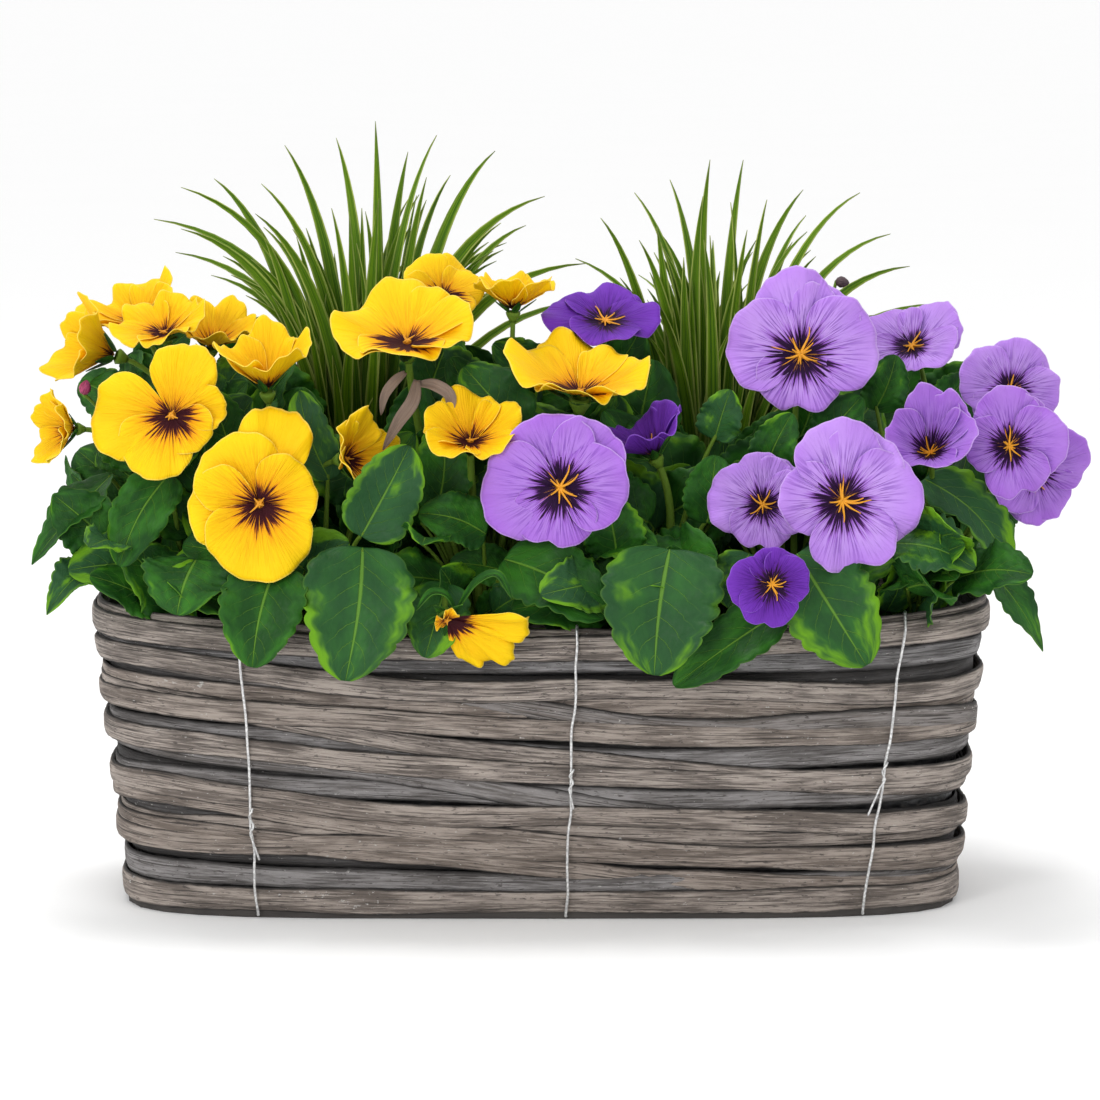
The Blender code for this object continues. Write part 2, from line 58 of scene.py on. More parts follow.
# The trough, as in the frame
TOP_HALF = (231 * MM, 95 * MM)
FOOT_HALF = (216 * MM, 86 * MM)
RIM_HEIGHT = 145.5 * MM
PLAN_POWER = 4.5
PLAN_SAMPLES = 8001
END_RISE = 9.5 * MM
END_RISE_POWER = 2
STRIP_ROWS = 13
STRIP_FOOT = 4.8 * MM
CAD_STRIP_WIDTH = 12.5 * MM
STRIP_PITCH = (RIM_HEIGHT - CAD_STRIP_WIDTH - STRIP_FOOT) / (STRIP_ROWS - 1)
HOOP_TOP = 149 * MM
LINER_INSET = 8.8 * MM
LINER_TOP = 143 * MM
SOIL_TOP = 128 * MM

# Willow strips. The knots are those of each random curve round the trough
STATIONS = 520  # points along a strip, right round the trough
PROFILE_POINTS = 14
PROFILE_POWERS = (0.55, 0.6)  # how rounded a strip's section is, upwards and outwards
WANDER_KNOTS = 9
QUICK_WANDER_KNOTS = 31
QUICK_WANDER = 0.16  # the quick wandering, as a share of the slow one
BREADTH_KNOTS = 24
BREADTH_VARIES = 0.10
SWING_KNOTS = 13
TILT_KNOTS = 14
TILT = 0.13
NICK_KNOTS = 260
NICK_BREADTH = 0.05
NICK_DEPTH = 0.12 * MM
CROWN = 0.9 * MM  # how far a strip's edges fall back from its middle
FLOOR_GAP = 0.3 * MM
STANDS_PROUD = 0.3 * MM  # the most that a strip reaches past the wall's face
HOOP_WIDTH = 12.6
# Each layer's width, how far its outer face lies inside the wall's, how far that swings in and out, its
# thickness, how far it leans down to the right and how far it wanders, in millimetres
WEAVE = {
    "front": (11.2, 0.4, 0.6, 3.0, 10.5, 3.6),
    "crossing": (10.6, 1.7, 1.4, 2.2, 23.0, 4.5),
    "middle": (12.2, 3.6, 0.7, 2.0, 4.0, 3.7),
    "back": (13.5, 5.8, 0.2, 1.0, 5.0, 3.0),
    "rim": (12.6, 0.4, 0.3, 2.6, 0.0, 1.6),
    "foot": (12.4, 0.4, 0.3, 2.6, 0.0, 1.2),
    "hoop": (HOOP_WIDTH, 3.4, 0.2, 2.8, 0.0, 0.5),
}
WARM_MIDDLE_ROWS = (3, 9)
FOOT_DROP = 2.0 * MM  # how far the lowest strip sags below its row
CROSSINGS = (40, 62, 84, 108, 27)  # heights of the strips that cross from row to row
BACK_ROWS = 8
BACK_TONE = 0.2
HOOP_TONE = 0.15
# The pale wood, the dark wood and how much of a strip's breadth is free of the painted shade and seam dirt at
# its edges
WILLOW = {
    "warm": ((0.44, 0.380, 0.336), (0.118, 0.098, 0.086), 0.78),
    "cool": ((0.305, 0.297, 0.300), (0.090, 0.088, 0.090), 0.58),
    # The strips behind the gaps: the willow's colours darkened as painted shade
    "shaded_behind": ((0.105, 0.100, 0.100), (0.034, 0.032, 0.033), 0.30),
}

# Liner and soil
LINER_STATIONS = 360
LINER_ROWS = 26
LINER_HALF = 0.3 * MM
FLOOR_RINGS = (0.02, 0.5, 0.97)  # the rings of the liner's floor, as shares of its foot
SOIL_INSET = LINER_INSET + 1.9 * MM
SOIL_STATIONS = 180
SOIL_ROWS = 34
SOIL_CRUMBS = 520
CRUMB_RADII = (0.9 * MM, 3.0 * MM)

# Wire
WIRE_RADIUS = 0.75 * MM
WIRE_CLEARANCE = 0.9 * MM
WIRE_FOOT = 3.2 * MM
WIRE_DRIFT = 0.8 * MM
# Points of the hook over the rim: how far right of the wire, in from the wall's face and above the hoop
HOOK = ((-0.5, 8.2, -7.0), (0.0, 7.6, 0.2), (0.3, 4.4, 1.3), (0.0, 1.2, 0.2))
TWIST_TURNS = 1.5

# Plants
CROWN_HEIGHT = 15 * MM
LEAF_ROWS = 56
LEAF_COLUMNS = 13
FILLER_ROWS = 38
FILLER_COLUMNS = 9
LEAF_THICKNESS = 0.4 * MM
LEAF_VEINS = 7.0
VEIN_SLANT = 0.36
VEIN_BEND = 1.2
SERRATED_BEYOND = 208 * MM  # leaves that start this far to either side are narrow and serrated
CALYX_DEPTH = 0.30
# The calyx and the knob in the throat, as (distance from the axis, height) in bloom radii
CALYX = ((0.075, -CALYX_DEPTH), (0.10, -0.24), (0.15, -0.15), (0.17, -0.09), (0.12, -0.05))
KNOB = ((0.034, 0.03), (0.037, 0.050), (0.022, 0.068), (0.003, 0.072))
FILAMENTS = {"yellow": (5, 0.19), "violet": (10, 0.40)}  # how many, and the longest in bloom radii
FILAMENT_RADII = (0.015, 0.003)
BUD = ((0.05, -0.2), (0.62, 0.1), (0.95, 0.7), (0.85, 1.3), (0.45, 1.9), (0.03, 2.2))
PETAL_ROWS = 15
PETAL_COLUMNS = 43
PETAL_THICKNESS = 0.35 * MM
PATTERN_STRIDE = 10.0  # how far apart two petals lie on the pattern's map
NOTCHED = 1.0  # the kind of petal with a notch in the middle of its edge
NOTCH_DEPTH = 0.15
NOTCH_WIDTH = 0.13
BLADE_ROWS = 20
BLADE_COLUMNS = 5
BLADE_WIDTH = 10.5 * MM
BLADE_THICKNESS = 0.45 * MM
BLADES_PER_TUFT = 110
GRASS_SPREAD = 26 * MM  # half the width in which nothing stands before a tuft
GRASS_SHOWS = 230 * MM  # the height from which that holds
BLADE_KEEL = 0.42
RIBBON_COLUMNS = 5
RIBBON_CUP = 0.5
FILLER_TRIES = 12  # places tried for each filling leaf
END_RINGS = ((0.9, 0.02), (0.6, 0.7))  # a tube's rounded end: how far past it and how wide, in its radii

# Camera, at the angle of the reference view
CAMERA_TARGET = (0.0047, 0.0, 0.176)
CAMERA_DISTANCE = 2.2
CAMERA_ELEVATION = 8.0
CAMERA_LENS = 138.9
CAMERA_SENSOR = 36.0
LIGHT_TARGET = Vector((0.0, 0.0, 0.15))
FLOOR_HALF = 60.0
FLOOR_DROP = 0.0002

# Wire ties: (name, x at the rim, x at the foot, side), with side -1 at the front and 1 at the back
WIRES = (
    ("front_left", -150, -143, -1),
    ("front_centre", 18, 13, -1),
    ("front_right", 182, 163, -1),
    ("back_left", -150, -146, 1),
    ("back_centre", -4, 2, 1),
    ("back_right", 156, 150, 1),
)

# Grass tufts: crown (x, y) and the tip (x, y, z) of each leading blade
GRASS = {
    "left": (
        (-95, 34),
        (
            (-202, 38, 345), (-193, 62, 326), (-187, 30, 362), (-172, 58, 365), (-145, 26, 364),
            (-134, 48, 383), (-108, 66, 386), (-108, 14, 352), (-86, 34, 396), (-70, 60, 379),
            (-54, 28, 389), (-48, 74, 366), (-24, 48, 380), (-8, 66, 340), (2, 36, 357),
            (24, 50, 321), (-128, 92, 318), (-88, 98, 334), (-52, 96, 322), (-82, 8, 330),
        ),
    ),
    "right": (
        (88, 34),
        (
            (18, 44, 324), (31, 30, 346), (49, 52, 358), (60, 22, 342), (68, 66, 364),
            (88, 36, 376), (106, 54, 375), (117, 22, 356), (137, 44, 360), (140, 68, 345),
            (166, 34, 359), (184, 58, 336), (192, 30, 321), (208, 46, 300), (52, 90, 312),
            (92, 96, 330), (128, 94, 318), (84, 10, 336),
        ),
    ),
}

# Plants: crown (x, y), then leaves as (blade's base, blade's tip, width, facing azimuth, facing elevation)
PLANTS = {
    "yellow_left": (
        (-178, -34),
        (
            ((-217, -45, 221), (-258, -72, 183), 31, -40, 50),
            ((-218, -62, 179), (-247, -88, 159), 25, -20, 50),
            ((-186, -72, 224), (-209, -98, 184), 30, 0, 30),
            ((-171, -92, 184), (-179, -116, 162), 44, 0, 45),
            ((-197, -42, 259), (-226, -48, 270), 23, 0, 60),
            ((-222, -28, 200), (-246, -20, 226), 24, -80, 20),
        ),
    ),
    "yellow_middle": (
        (-112, -46),
        (
            ((-131, -98, 182), (-142, -120, 136), 42, 0, 20),
            ((-88, -98, 191), (-96, -124, 130), 55, 0, 20),
            ((-89, -94, 196), (-64, -92, 240), 37, 20, 10),
            ((-156, -58, 232), (-168, -62, 266), 25, 0, 30),
            ((-106, -65, 221), (-121, -62, 265), 24, 0, 20),
            ((-118, -82, 178), (-150, -90, 196), 26, 0, 40),
        ),
    ),
    "yellow_right": (
        (-28, -42),
        (
            ((-47, -92, 172), (-57, -110, 139), 31, 0, 25),
            ((-18, -90, 184), (32, -110, 161), 40, 0, 35),
            ((-10, -55, 245), (-38, -50, 277), 36, 0, 30),
            ((-52, -60, 205), (-50, -56, 250), 30, 0, 10),
            ((16, -46, 196), (20, -40, 244), 30, 0, 15),
        ),
    ),
    "violet_left": (
        (54, -44),
        (
            ((64, -98, 190), (56, -124, 133), 59, 0, 20),
            ((38, -80, 183), (31, -86, 216), 31, 0, 15),
            ((88, -45, 239), (95, -52, 264), 23, 0, 30),
            ((84, -60, 198), (88, -58, 232), 28, 0, 15),
        ),
    ),
    "violet_middle": (
        (128, -46),
        (
            ((120, -99, 160), (66, -117, 127), 28, 0, 30),
            ((127, -98, 188), (160, -124, 138), 49, 0, 20),
            ((113, -62, 226), (125, -68, 254), 23, 0, 30),
            ((141, -45, 235), (161, -48, 261), 25, 0, 30),
            ((104, -84, 186), (94, -92, 160), 28, 0, 25),
        ),
    ),
    "violet_right": (
        (190, -34),
        (
            ((176, -90, 192), (214, -108, 185), 38, 10, 50),
            ((215, -62, 184), (254, -84, 140), 24, 30, 40),
            ((194, -48, 219), (238, -66, 180), 33, 20, 45),
            ((170, -30, 252), (180, -34, 280), 23, 0, 20),
            ((202, -25, 250), (218, -18, 270), 20, 0, 30),
            ((222, -30, 196), (246, -18, 214), 24, 80, 30),
        ),
    ),
    "back_left": (
        (-150, 52),
        (
            ((-196, 62, 190), (-222, 66, 226), 34, -120, 30),
            ((-176, 84, 196), (-188, 118, 160), 46, 190, 20),
            ((-128, 92, 194), (-128, 122, 148), 50, 180, 20),
            ((-214, 30, 196), (-246, 38, 176), 34, -90, 40),
            ((-44, 88, 190), (-56, 120, 146), 46, 180, 20),
        ),
    ),
    "back_right": (
        (140, 56),
        (
            ((190, 66, 194), (218, 70, 230), 34, 120, 30),
            ((168, 88, 192), (182, 120, 152), 46, 175, 20),
            ((112, 94, 194), (106, 124, 146), 50, 180, 20),
            ((212, 34, 196), (244, 40, 172), 34, 90, 40),
            ((34, 90, 192), (22, 120, 148), 46, 180, 20),
        ),
    ),
}

# Filling leaves, by zone: how many, the least and most x, y and z of a blade's base, the least and most
# length, the facing azimuth of the zone and how steeply its blades stand
FILLERS = (
    (40, (-215, 215), (-84, -58), (150, 196), (34, 54), 0, 0.35),
    (46, (-210, 215), (-60, -20), (190, 236), (34, 52), 0, 0.75),
    (40, (-205, 205), (-30, 20), (170, 235), (36, 54), 0, 0.85),
    (34, (-200, 205), (-10, 40), (225, 262), (34, 48), 0, 0.85),
    (16, (-30, 90), (-30, 30), (205, 262), (36, 50), 0, 0.9),
    (26, (-185, 195), (-5, 55), (150, 205), (40, 56), 0, 0.6),
    (9, (-100, -40), (-20, 50), (158, 200), (42, 54), 0, 0.8),
    (9, (40, 95), (-20, 50), (158, 200), (42, 54), 0, 0.8),
    (10, (-215, -150), (-20, 40), (240, 266), (30, 42), -20, 0.8),
    (26, (-205, 205), (52, 84), (150, 206), (36, 54), 180, 0.35),
    (30, (-200, 200), (30, 66), (190, 244), (34, 50), 180, 0.75),
    (10, (-218, -196), (-50, 50), (152, 206), (32, 46), -90, 0.45),
    (10, (196, 218), (-50, 50), (152, 206), (32, 46), 90, 0.45),
    (14, (140, 196), (-70, -30), (142, 166), (26, 40), 10, 0.5),
    (14, (-190, -150), (-70, -30), (142, 166), (26, 40), -10, 0.5),
    (20, (-140, 140), (-74, -50), (136, 156), (26, 38), 0, 0.4),
)

# Blooms: (name, plant, throat, diameter, facing azimuth, facing elevation, depth of the cup, roll, form)
BLOOMS = (
    ("yellow_01", "yellow_left", (-234, -62, 246), 38, -62, 4, 0.80, 0, "bowl"),
    ("yellow_02", "yellow_left", (-217, -28, 280), 48, -72, 20, 1.05, 10, "bowl"),
    ("yellow_03", "yellow_left", (-206, 2, 293), 52, -50, 58, 0.62, 0, "bowl"),
    ("yellow_04", "yellow_left", (-190, -40, 292), 48, -25, 58, 0.45, 10, "bowl"),
    ("yellow_05", "yellow_left", (-183, -82, 255), 66, -10, 14, 0.06, 0, "spread"),
    ("yellow_06", "yellow_middle", (-168, -22, 284), 46, 20, 66, 0.70, -15, "bowl"),
    ("yellow_07", "yellow_middle", (-139, -98, 213), 70, 6, 6, 0.05, 0, "high"),
    ("yellow_08", "yellow_middle", (-137, -62, 266), 48, -12, 72, 1.05, 0, "bowl"),
    ("yellow_09", "yellow_middle", (-98, -72, 232), 45, 56, 12, 0.72, 20, "bowl"),
    ("yellow_10", "yellow_right", (-67, -52, 288), 70, -4, 60, 0.34, 0, "round"),
    ("yellow_11", "yellow_right", (-50, -8, 309), 44, 20, 40, 0.20, -10, "round"),
    ("yellow_12", "yellow_right", (-14, -22, 303), 44, 15, 84, 0.72, 0, "bowl"),
    ("yellow_13", "yellow_right", (20, -57, 263), 70, 10, 70, 0.44, 20, "round"),
    ("yellow_14", "yellow_right", (-35, -76, 241), 52, 0, 52, 0.52, 0, "bowl"),
    ("yellow_15", "yellow_right", (-46, -116, 158), 46, 10, -38, 0.22, 0, "fan"),
    ("violet_01", "violet_left", (33, -9, 295), 57, 4, 60, 0.12, 0, "wide"),
    ("violet_02", "violet_left", (10, -98, 221), 71, -6, 8, 0.06, 0, "round"),
    ("violet_03", "violet_left", (57, -54, 232), 48, -66, 62, 0.75, 0, "bowl"),
    ("violet_04", "violet_middle", (131, -46, 282), 80, 0, 10, 0.05, 0, "broad"),
    ("violet_05", "violet_right", (191, -6, 282), 54, -30, 46, 0.16, 20, "wide"),
    ("violet_06", "violet_right", (196, -60, 233), 46, -10, 38, 0.95, 8, "tall"),
    ("violet_07", "violet_right", (239, -26, 262), 54, 14, 10, 0.10, 20, "wide"),
    ("violet_08", "violet_right", (235, -66, 238), 53, -8, 8, 0.08, 0, "tall"),
    ("violet_09", "violet_right", (251, -38, 222), 52, 20, 2, 0.12, 150, "wide"),
    ("violet_10", "violet_middle", (111, -78, 210), 51, -4, 8, 0.08, 0, "wide"),
    ("violet_11", "violet_middle", (149, -101, 215), 73, 4, 6, 0.06, 0, "tall"),
    ("violet_12", "violet_middle", (113, -126, 177), 42, 4, 2, 0.14, 0, "low"),
)
THICK_STALKS = {"yellow_10", "yellow_14", "violet_03"}
THICK_STALK = 2.7 * MM
STALK = 1.9 * MM
TINTS = {
    **dict.fromkeys(("violet_01", "violet_03", "violet_12"), "deep_violet"),
    **dict.fromkeys(("violet_04", "violet_05", "violet_07", "violet_10", "violet_11"), "light_violet"),
}

# Petals of each form of bloom, as (turn from the top in degrees, length in bloom radii, half angle in
# degrees, layer, kind). A higher kind has a larger blotch, and kind 1 is a lower petal, notched at its edge
FORMS = {
    "round": (
        (-14, 1.12, 68, -1.0, 0.2), (38, 1.04, 60, -2.0, 0.2), (-96, 1.08, 70, 0.2, 0.5),
        (86, 0.94, 74, 0.6, 0.5), (186, 0.86, 84, 1.3, 1.0),
    ),
    "broad": (
        (-2, 1.07, 52, -1.0, 0.6), (36, 1.00, 50, -2.0, 0.2), (-78, 1.00, 70, 0.2, 0.5),
        (74, 1.02, 72, 0.6, 0.5), (182, 0.74, 92, 1.3, 1.0),
    ),
    "tall": (
        (-4, 1.14, 62, -1.0, 0.4), (28, 1.06, 58, -2.0, 0.2), (-88, 0.92, 68, 0.2, 0.5),
        (84, 1.08, 70, 0.6, 0.5), (164, 1.00, 68, 1.3, 1.0),
    ),
    "wide": (
        (-4, 1.04, 68, -1.0, 0.2), (32, 1.02, 62, -2.0, 0.2), (-80, 1.10, 68, 0.2, 0.5),
        (88, 1.00, 70, 0.6, 0.5), (182, 0.92, 84, 1.3, 1.0),
    ),
    "low": (
        (-4, 0.84, 68, -1.0, 0.2), (34, 0.84, 64, -2.0, 0.2), (-86, 1.06, 72, 0.2, 0.5),
        (74, 0.92, 72, 0.6, 0.5), (194, 1.04, 80, 1.3, 1.0),
    ),
    "high": (
        (14, 1.34, 42, -2.4, 0.0), (-34, 1.04, 68, -1.0, 0.4), (-100, 1.06, 72, 0.2, 0.5),
        (64, 0.88, 74, 0.6, 0.5), (178, 1.06, 88, 1.3, 0.7),
    ),
    "spread": (
        (18, 1.18, 50, -1.0, 0.2), (72, 0.86, 44, -2.0, 0.2), (-92, 1.24, 54, 0.2, 0.5),
        (124, 0.72, 62, 0.6, 0.7), (206, 1.04, 66, 1.3, 0.7),
    ),
    "fan": (
        (97, 1.86, 26, -1.0, 1.1), (142, 1.40, 28, -2.0, 1.1), (120, 1.78, 28, 0.2, 1.2),
        (24, 0.34, 56, 0.6, 0.2), (-110, 0.28, 74, 1.3, 0.2),
    ),
    "bowl": (
        (-6, 1.02, 60, -1.2, 0.2), (64, 0.98, 60, -0.4, 0.5), (-74, 0.96, 62, -0.8, 0.5),
        (134, 1.00, 60, 0.5, 0.7), (-142, 1.04, 60, 1.0, 0.7),
    ),
}

# Ribbons: (name, points along the middle, width, facing, look)
EXTRA_RIBBONS = (
    (
        "curled_leaf_left",
        ((-42, -113, 161), (-47, -118, 170), (-54, -120, 171), (-61, -121, 163)), 5.5, (0, -0.6, 1), "leaf",
    ),
    (
        "curled_leaf_right",
        ((-40, -112, 163), (-31, -117, 176), (-21, -119, 180), (-14, -121, 169)), 6.0, (0, -0.6, 1), "leaf",
    ),
    (
        "bract_low",
        ((-62, -57, 270), (-64, -64, 260), (-71, -68, 250), (-79, -68, 236)), 7.0, (0, -1, 0.3), "withered",
    ),
    (
        "bract_right",
        ((-61, -57, 268), (-53, -65, 268), (-45, -67, 262), (-47, -66, 249)), 6.5, (0, -1, 0.6), "withered",
    ),
    (
        "bract_left",
        ((-68, -57, 274), (-73, -62, 270), (-78, -64, 263), (-80, -63, 253)), 5.0, (0, -1, 0.2), "withered",
    ),
)

# Buds: (name, place, radius, pointing, foot of its stalk, colour)
EXTRA_BUDS = (
    ("bud_pink", (-231, -44, 262), 3.4, (0.3, -0.2, 1), (-196, -36, 205), (0.55, 0.07, 0.22)),
    ("seed_head", (153, 18, 314), 3.2, (1, -0.3, -0.1), (142, 10, 250), (0.09, 0.05, 0.06)),
)


def mm(point):
    return np.array(point, float) * MM


def unit(vectors):
    """Each vector of an array, at length 1."""
    return vectors / np.linalg.norm(vectors, axis=-1, keepdims=True)


def square_to(vector, direction):
    """The part of vector that is square to direction, as a unit vector."""
    return unit(vector - direction * np.dot(vector, direction))


def signed_power(values, power):
    """Each value's size to a power, with the value's own sign."""
    return np.sign(values) * np.abs(values) ** power


def facing(azimuth, elevation):
    """The unit vector of a direction: azimuth 0 faces -Y and 90 faces +X."""
    azimuth, elevation = math.radians(azimuth), math.radians(elevation)
    flat = math.cos(elevation)
    return np.array((math.sin(azimuth) * flat, -math.cos(azimuth) * flat, math.sin(elevation)))


# ---- meshes made of grids ----


class Grids:
    """Collects grids of points, with their two maps and their material's number, into one mesh."""

    def __init__(self):
        self.points, self.faces, self.pattern, self.finish, self.slots = [], [], [], [], []
        self.count = 0

    def add(self, grid, pattern, finish, slot=0, ring=False):
        """Adds a rows x columns x 3 grid. A ring joins its last column to its first, and its maps have one
        column more than the grid has."""
        rows, columns = grid.shape[:2]
        across = columns if ring else columns - 1
        row, column = np.meshgrid(np.arange(rows - 1), np.arange(across), indexing="ij")
        row, column = row.ravel(), column.ravel()
        corners = ((row, column), (row, column + 1), (row + 1, column + 1), (row + 1, column))
        faces = np.stack([self.count + r * columns + c % columns for r, c in corners], axis=1)
        self.points.append(grid.reshape(-1, 3))
        self.faces.append(faces)
        self.pattern.append(np.stack([pattern[r, c] for r, c in corners], axis=1).reshape(-1, 2))
        self.finish.append(np.stack([finish[r, c] for r, c in corners], axis=1).reshape(-1, 2))
        self.slots.append(np.full(len(faces), slot))
        self.count += rows * columns

    def add_plain_ring(self, grid):
        """Adds a ring whose material reads no map."""
        rows, columns = grid.shape[:2]
        self.add(grid, *even_maps(rows, columns + 1), ring=True)

    def build(self, name, materials, thickness=0.0):
        """The mesh object. With a thickness, its open sheets become shells."""
        mesh = bpy.data.meshes.new(name)
        faces = [tuple(face) for block in self.faces for face in block.tolist()]
        mesh.from_pydata(np.concatenate(self.points).tolist(), [], faces)
        for label, corners in (("pattern", self.pattern), ("finish", self.finish)):
            layer = mesh.uv_layers.new(name=label)
            layer.data.foreach_set("uv", np.concatenate(corners).astype(np.float32).ravel())
        mesh.polygons.foreach_set("material_index", np.concatenate(self.slots).astype(np.int32))
        for made in materials:
            mesh.materials.append(made)
        mesh.shade_smooth()
        mesh.update()
        piece = bpy.data.objects.new(name, mesh)
        bpy.context.scene.collection.objects.link(piece)
        if thickness:
            shell = piece.modifiers.new("thickness", "SOLIDIFY")
            shell.thickness = thickness
            shell.offset = 0
        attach(piece, "root")
        return piece


def spread(first, second):
    """A map made of two arrays, each spread over the whole grid."""
    return np.stack(np.broadcast_arrays(first, second), axis=2)


def all_over(pair, rows, columns):
    """A map that has the same two numbers all over the grid."""
    return np.broadcast_to(np.array(pair), (rows, columns, 2))


def even_maps(rows, columns, pattern_size=(1.0, 1.0), finish=(0.0, 0.0)):
    """Maps that run evenly over a grid: pattern from 0 to a size each way, and one finish all over."""
    across = np.linspace(0, pattern_size[0], columns)[None, :]
    along = np.linspace(0, pattern_size[1], rows)[:, None]
    return spread(across, along), all_over(finish, rows, columns)


def smooth_path(points, steps):
    """A Catmull-Rom curve through the points, as an array with that many steps between two of them."""
    points = np.array(points, float)
    padded = np.vstack([2 * points[0] - points[1], points, 2 * points[-1] - points[-2]])
    share = np.linspace(0, 1, steps, endpoint=False)[:, None]
    runs = []
    for before, start, end, after in zip(padded, padded[1:], padded[2:], padded[3:]):
        bend = 2 * before - 5 * start + 4 * end - after
        twist = 3 * start - before - 3 * end + after
        runs.append(start + 0.5 * share * (end - before + share * (bend + share * twist)))
    return np.vstack([*runs, points[-1:]])


def tube(grids, path, radii, slot=0, sides=8, finish=(0.0, 0.0)):
    """A round tube along a path, with a radius at each of its points and rounded ends."""
    ahead = unit(np.gradient(path, axis=0))
    side = np.empty_like(path)
    side[0] = square_to(np.array((0.3, 0.9, 0.2)), ahead[0])
    for k in range(1, len(path)):
        side[k] = square_to(side[k - 1], ahead[k])
    up = np.cross(ahead, side)
    radii = np.broadcast_to(radii, len(path))
    stations = [(0, -push, share) for push, share in END_RINGS]
    stations += [(k, 0.0, 1.0) for k in range(len(path))]
    stations += [(-1, push, share) for push, share in reversed(END_RINGS)]
    turns = np.linspace(0, math.tau, sides, endpoint=False)
    rings = []
    for k, push, share in stations:
        ring = np.cos(turns)[:, None] * side[k] + np.sin(turns)[:, None] * up[k]
        rings.append(path[k] + ahead[k] * push * radii[k] + ring * radii[k] * share)
    grid = np.array(rings)
    pattern, kinds = even_maps(len(rings), sides + 1, (1.0, float(len(path))), finish)
    grids.add(grid, pattern, kinds, slot, ring=True)


# ---- materials ----


class Shader:
    """A Principled material, and short ways to make the values that feed it."""

    def __init__(self, name, **sockets):
        self.material = bpy.data.materials.new(name)
        self.material.use_nodes = True
        self.nodes = self.material.node_tree.nodes
        self.links = self.material.node_tree.links
        self.surface = self.nodes["Principled BSDF"]
        for socket, value in sockets.items():
            self.surface.inputs[socket.replace("_", " ")].default_value = value

    def plug(self, socket, value):
        if isinstance(value, bpy.types.NodeSocket):
            self.links.new(value, socket)
        elif isinstance(value, tuple) and len(value) == 3 and socket.type == "RGBA":
            socket.default_value = (*value, 1.0)
        else:
            socket.default_value = value

    def node(self, kind, *values, **settings):
        made = self.nodes.new(kind)
        for setting, value in settings.items():
            setattr(made, setting, value)
        for socket, value in zip(made.inputs, values):
            if value is not None:
                self.plug(socket, value)
        return made

    def uv(self, label):
        """The two numbers of one of the mesh's maps."""
        split = self.node("ShaderNodeSeparateXYZ", self.node("ShaderNodeUVMap", uv_map=label).outputs[0])
        return split.outputs[0], split.outputs[1]

    def sums(self, operation, *values):
        return self.node("ShaderNodeMath", *values, operation=operation).outputs[0]

    def times(self, *values):
        return self.sums("MULTIPLY", *values)

    def plus(self, *values):
        return self.sums("ADD", *values)

    def scaled(self, value, by, offset=0.0):
        return self.sums("MULTIPLY_ADD", value, by, offset)

    def spot(self, x, y, z=0.0):
        return self.node("ShaderNodeCombineXYZ", x, y, z).outputs[0]

    def noise(self, where, scale=1.0, detail=3.0, roughness=0.5):
        """Noise in the space of where, with that many features to a unit."""
        made = self.node("ShaderNodeTexNoise")
        self.plug(made.inputs["Vector"], where)
        self.plug(made.inputs["Scale"], scale)
        self.plug(made.inputs["Detail"], detail)
        self.plug(made.inputs["Roughness"], roughness)
        return made.outputs["Fac"]

    def streaks(self, pattern, by_first, by_second, seed=0.0, detail=3.0, roughness=0.5):
        """Noise over a map, stretched by its own factor each way."""
        where = self.spot(self.times(pattern[0], by_first), self.times(pattern[1], by_second), seed)
        return self.noise(where, 1.0, detail, roughness)

    def grit(self, scale, detail=3.0, roughness=0.5):
        """Noise in the object's own space, with that many features to a metre."""
        return self.noise(self.node("ShaderNodeTexCoord").outputs["Object"], scale, detail, roughness)

    def step(self, value, low, high, from_share=0.0, to_share=1.0):
        """Turns smoothly from one share to the other as value goes from low to high."""
        made = self.node("ShaderNodeMapRange", value, low, high, from_share, to_share)
        made.interpolation_type = "SMOOTHSTEP"
        return made.outputs[0]

    def mix(self, share, first, second):
        made = self.node("ShaderNodeMix", data_type="RGBA")
        self.plug(made.inputs[0], share)
        self.plug(made.inputs[6], first)
        self.plug(made.inputs[7], second)
        return made.outputs[2]

    def finish(self, colour, roughness=None, height=None, relief=0.001):
        """Plugs in the colour, the roughness and the height of the relief, whose full step is in metres."""
        self.plug(self.surface.inputs["Base Color"], colour)
        if roughness is not None:
            self.plug(self.surface.inputs["Roughness"], roughness)
        if height is not None:
            bump = self.node("ShaderNodeBump")
            self.plug(bump.inputs["Height"], height)
            bump.inputs["Distance"].default_value = relief
            self.plug(self.surface.inputs["Normal"], bump.outputs[0])
        return self.material


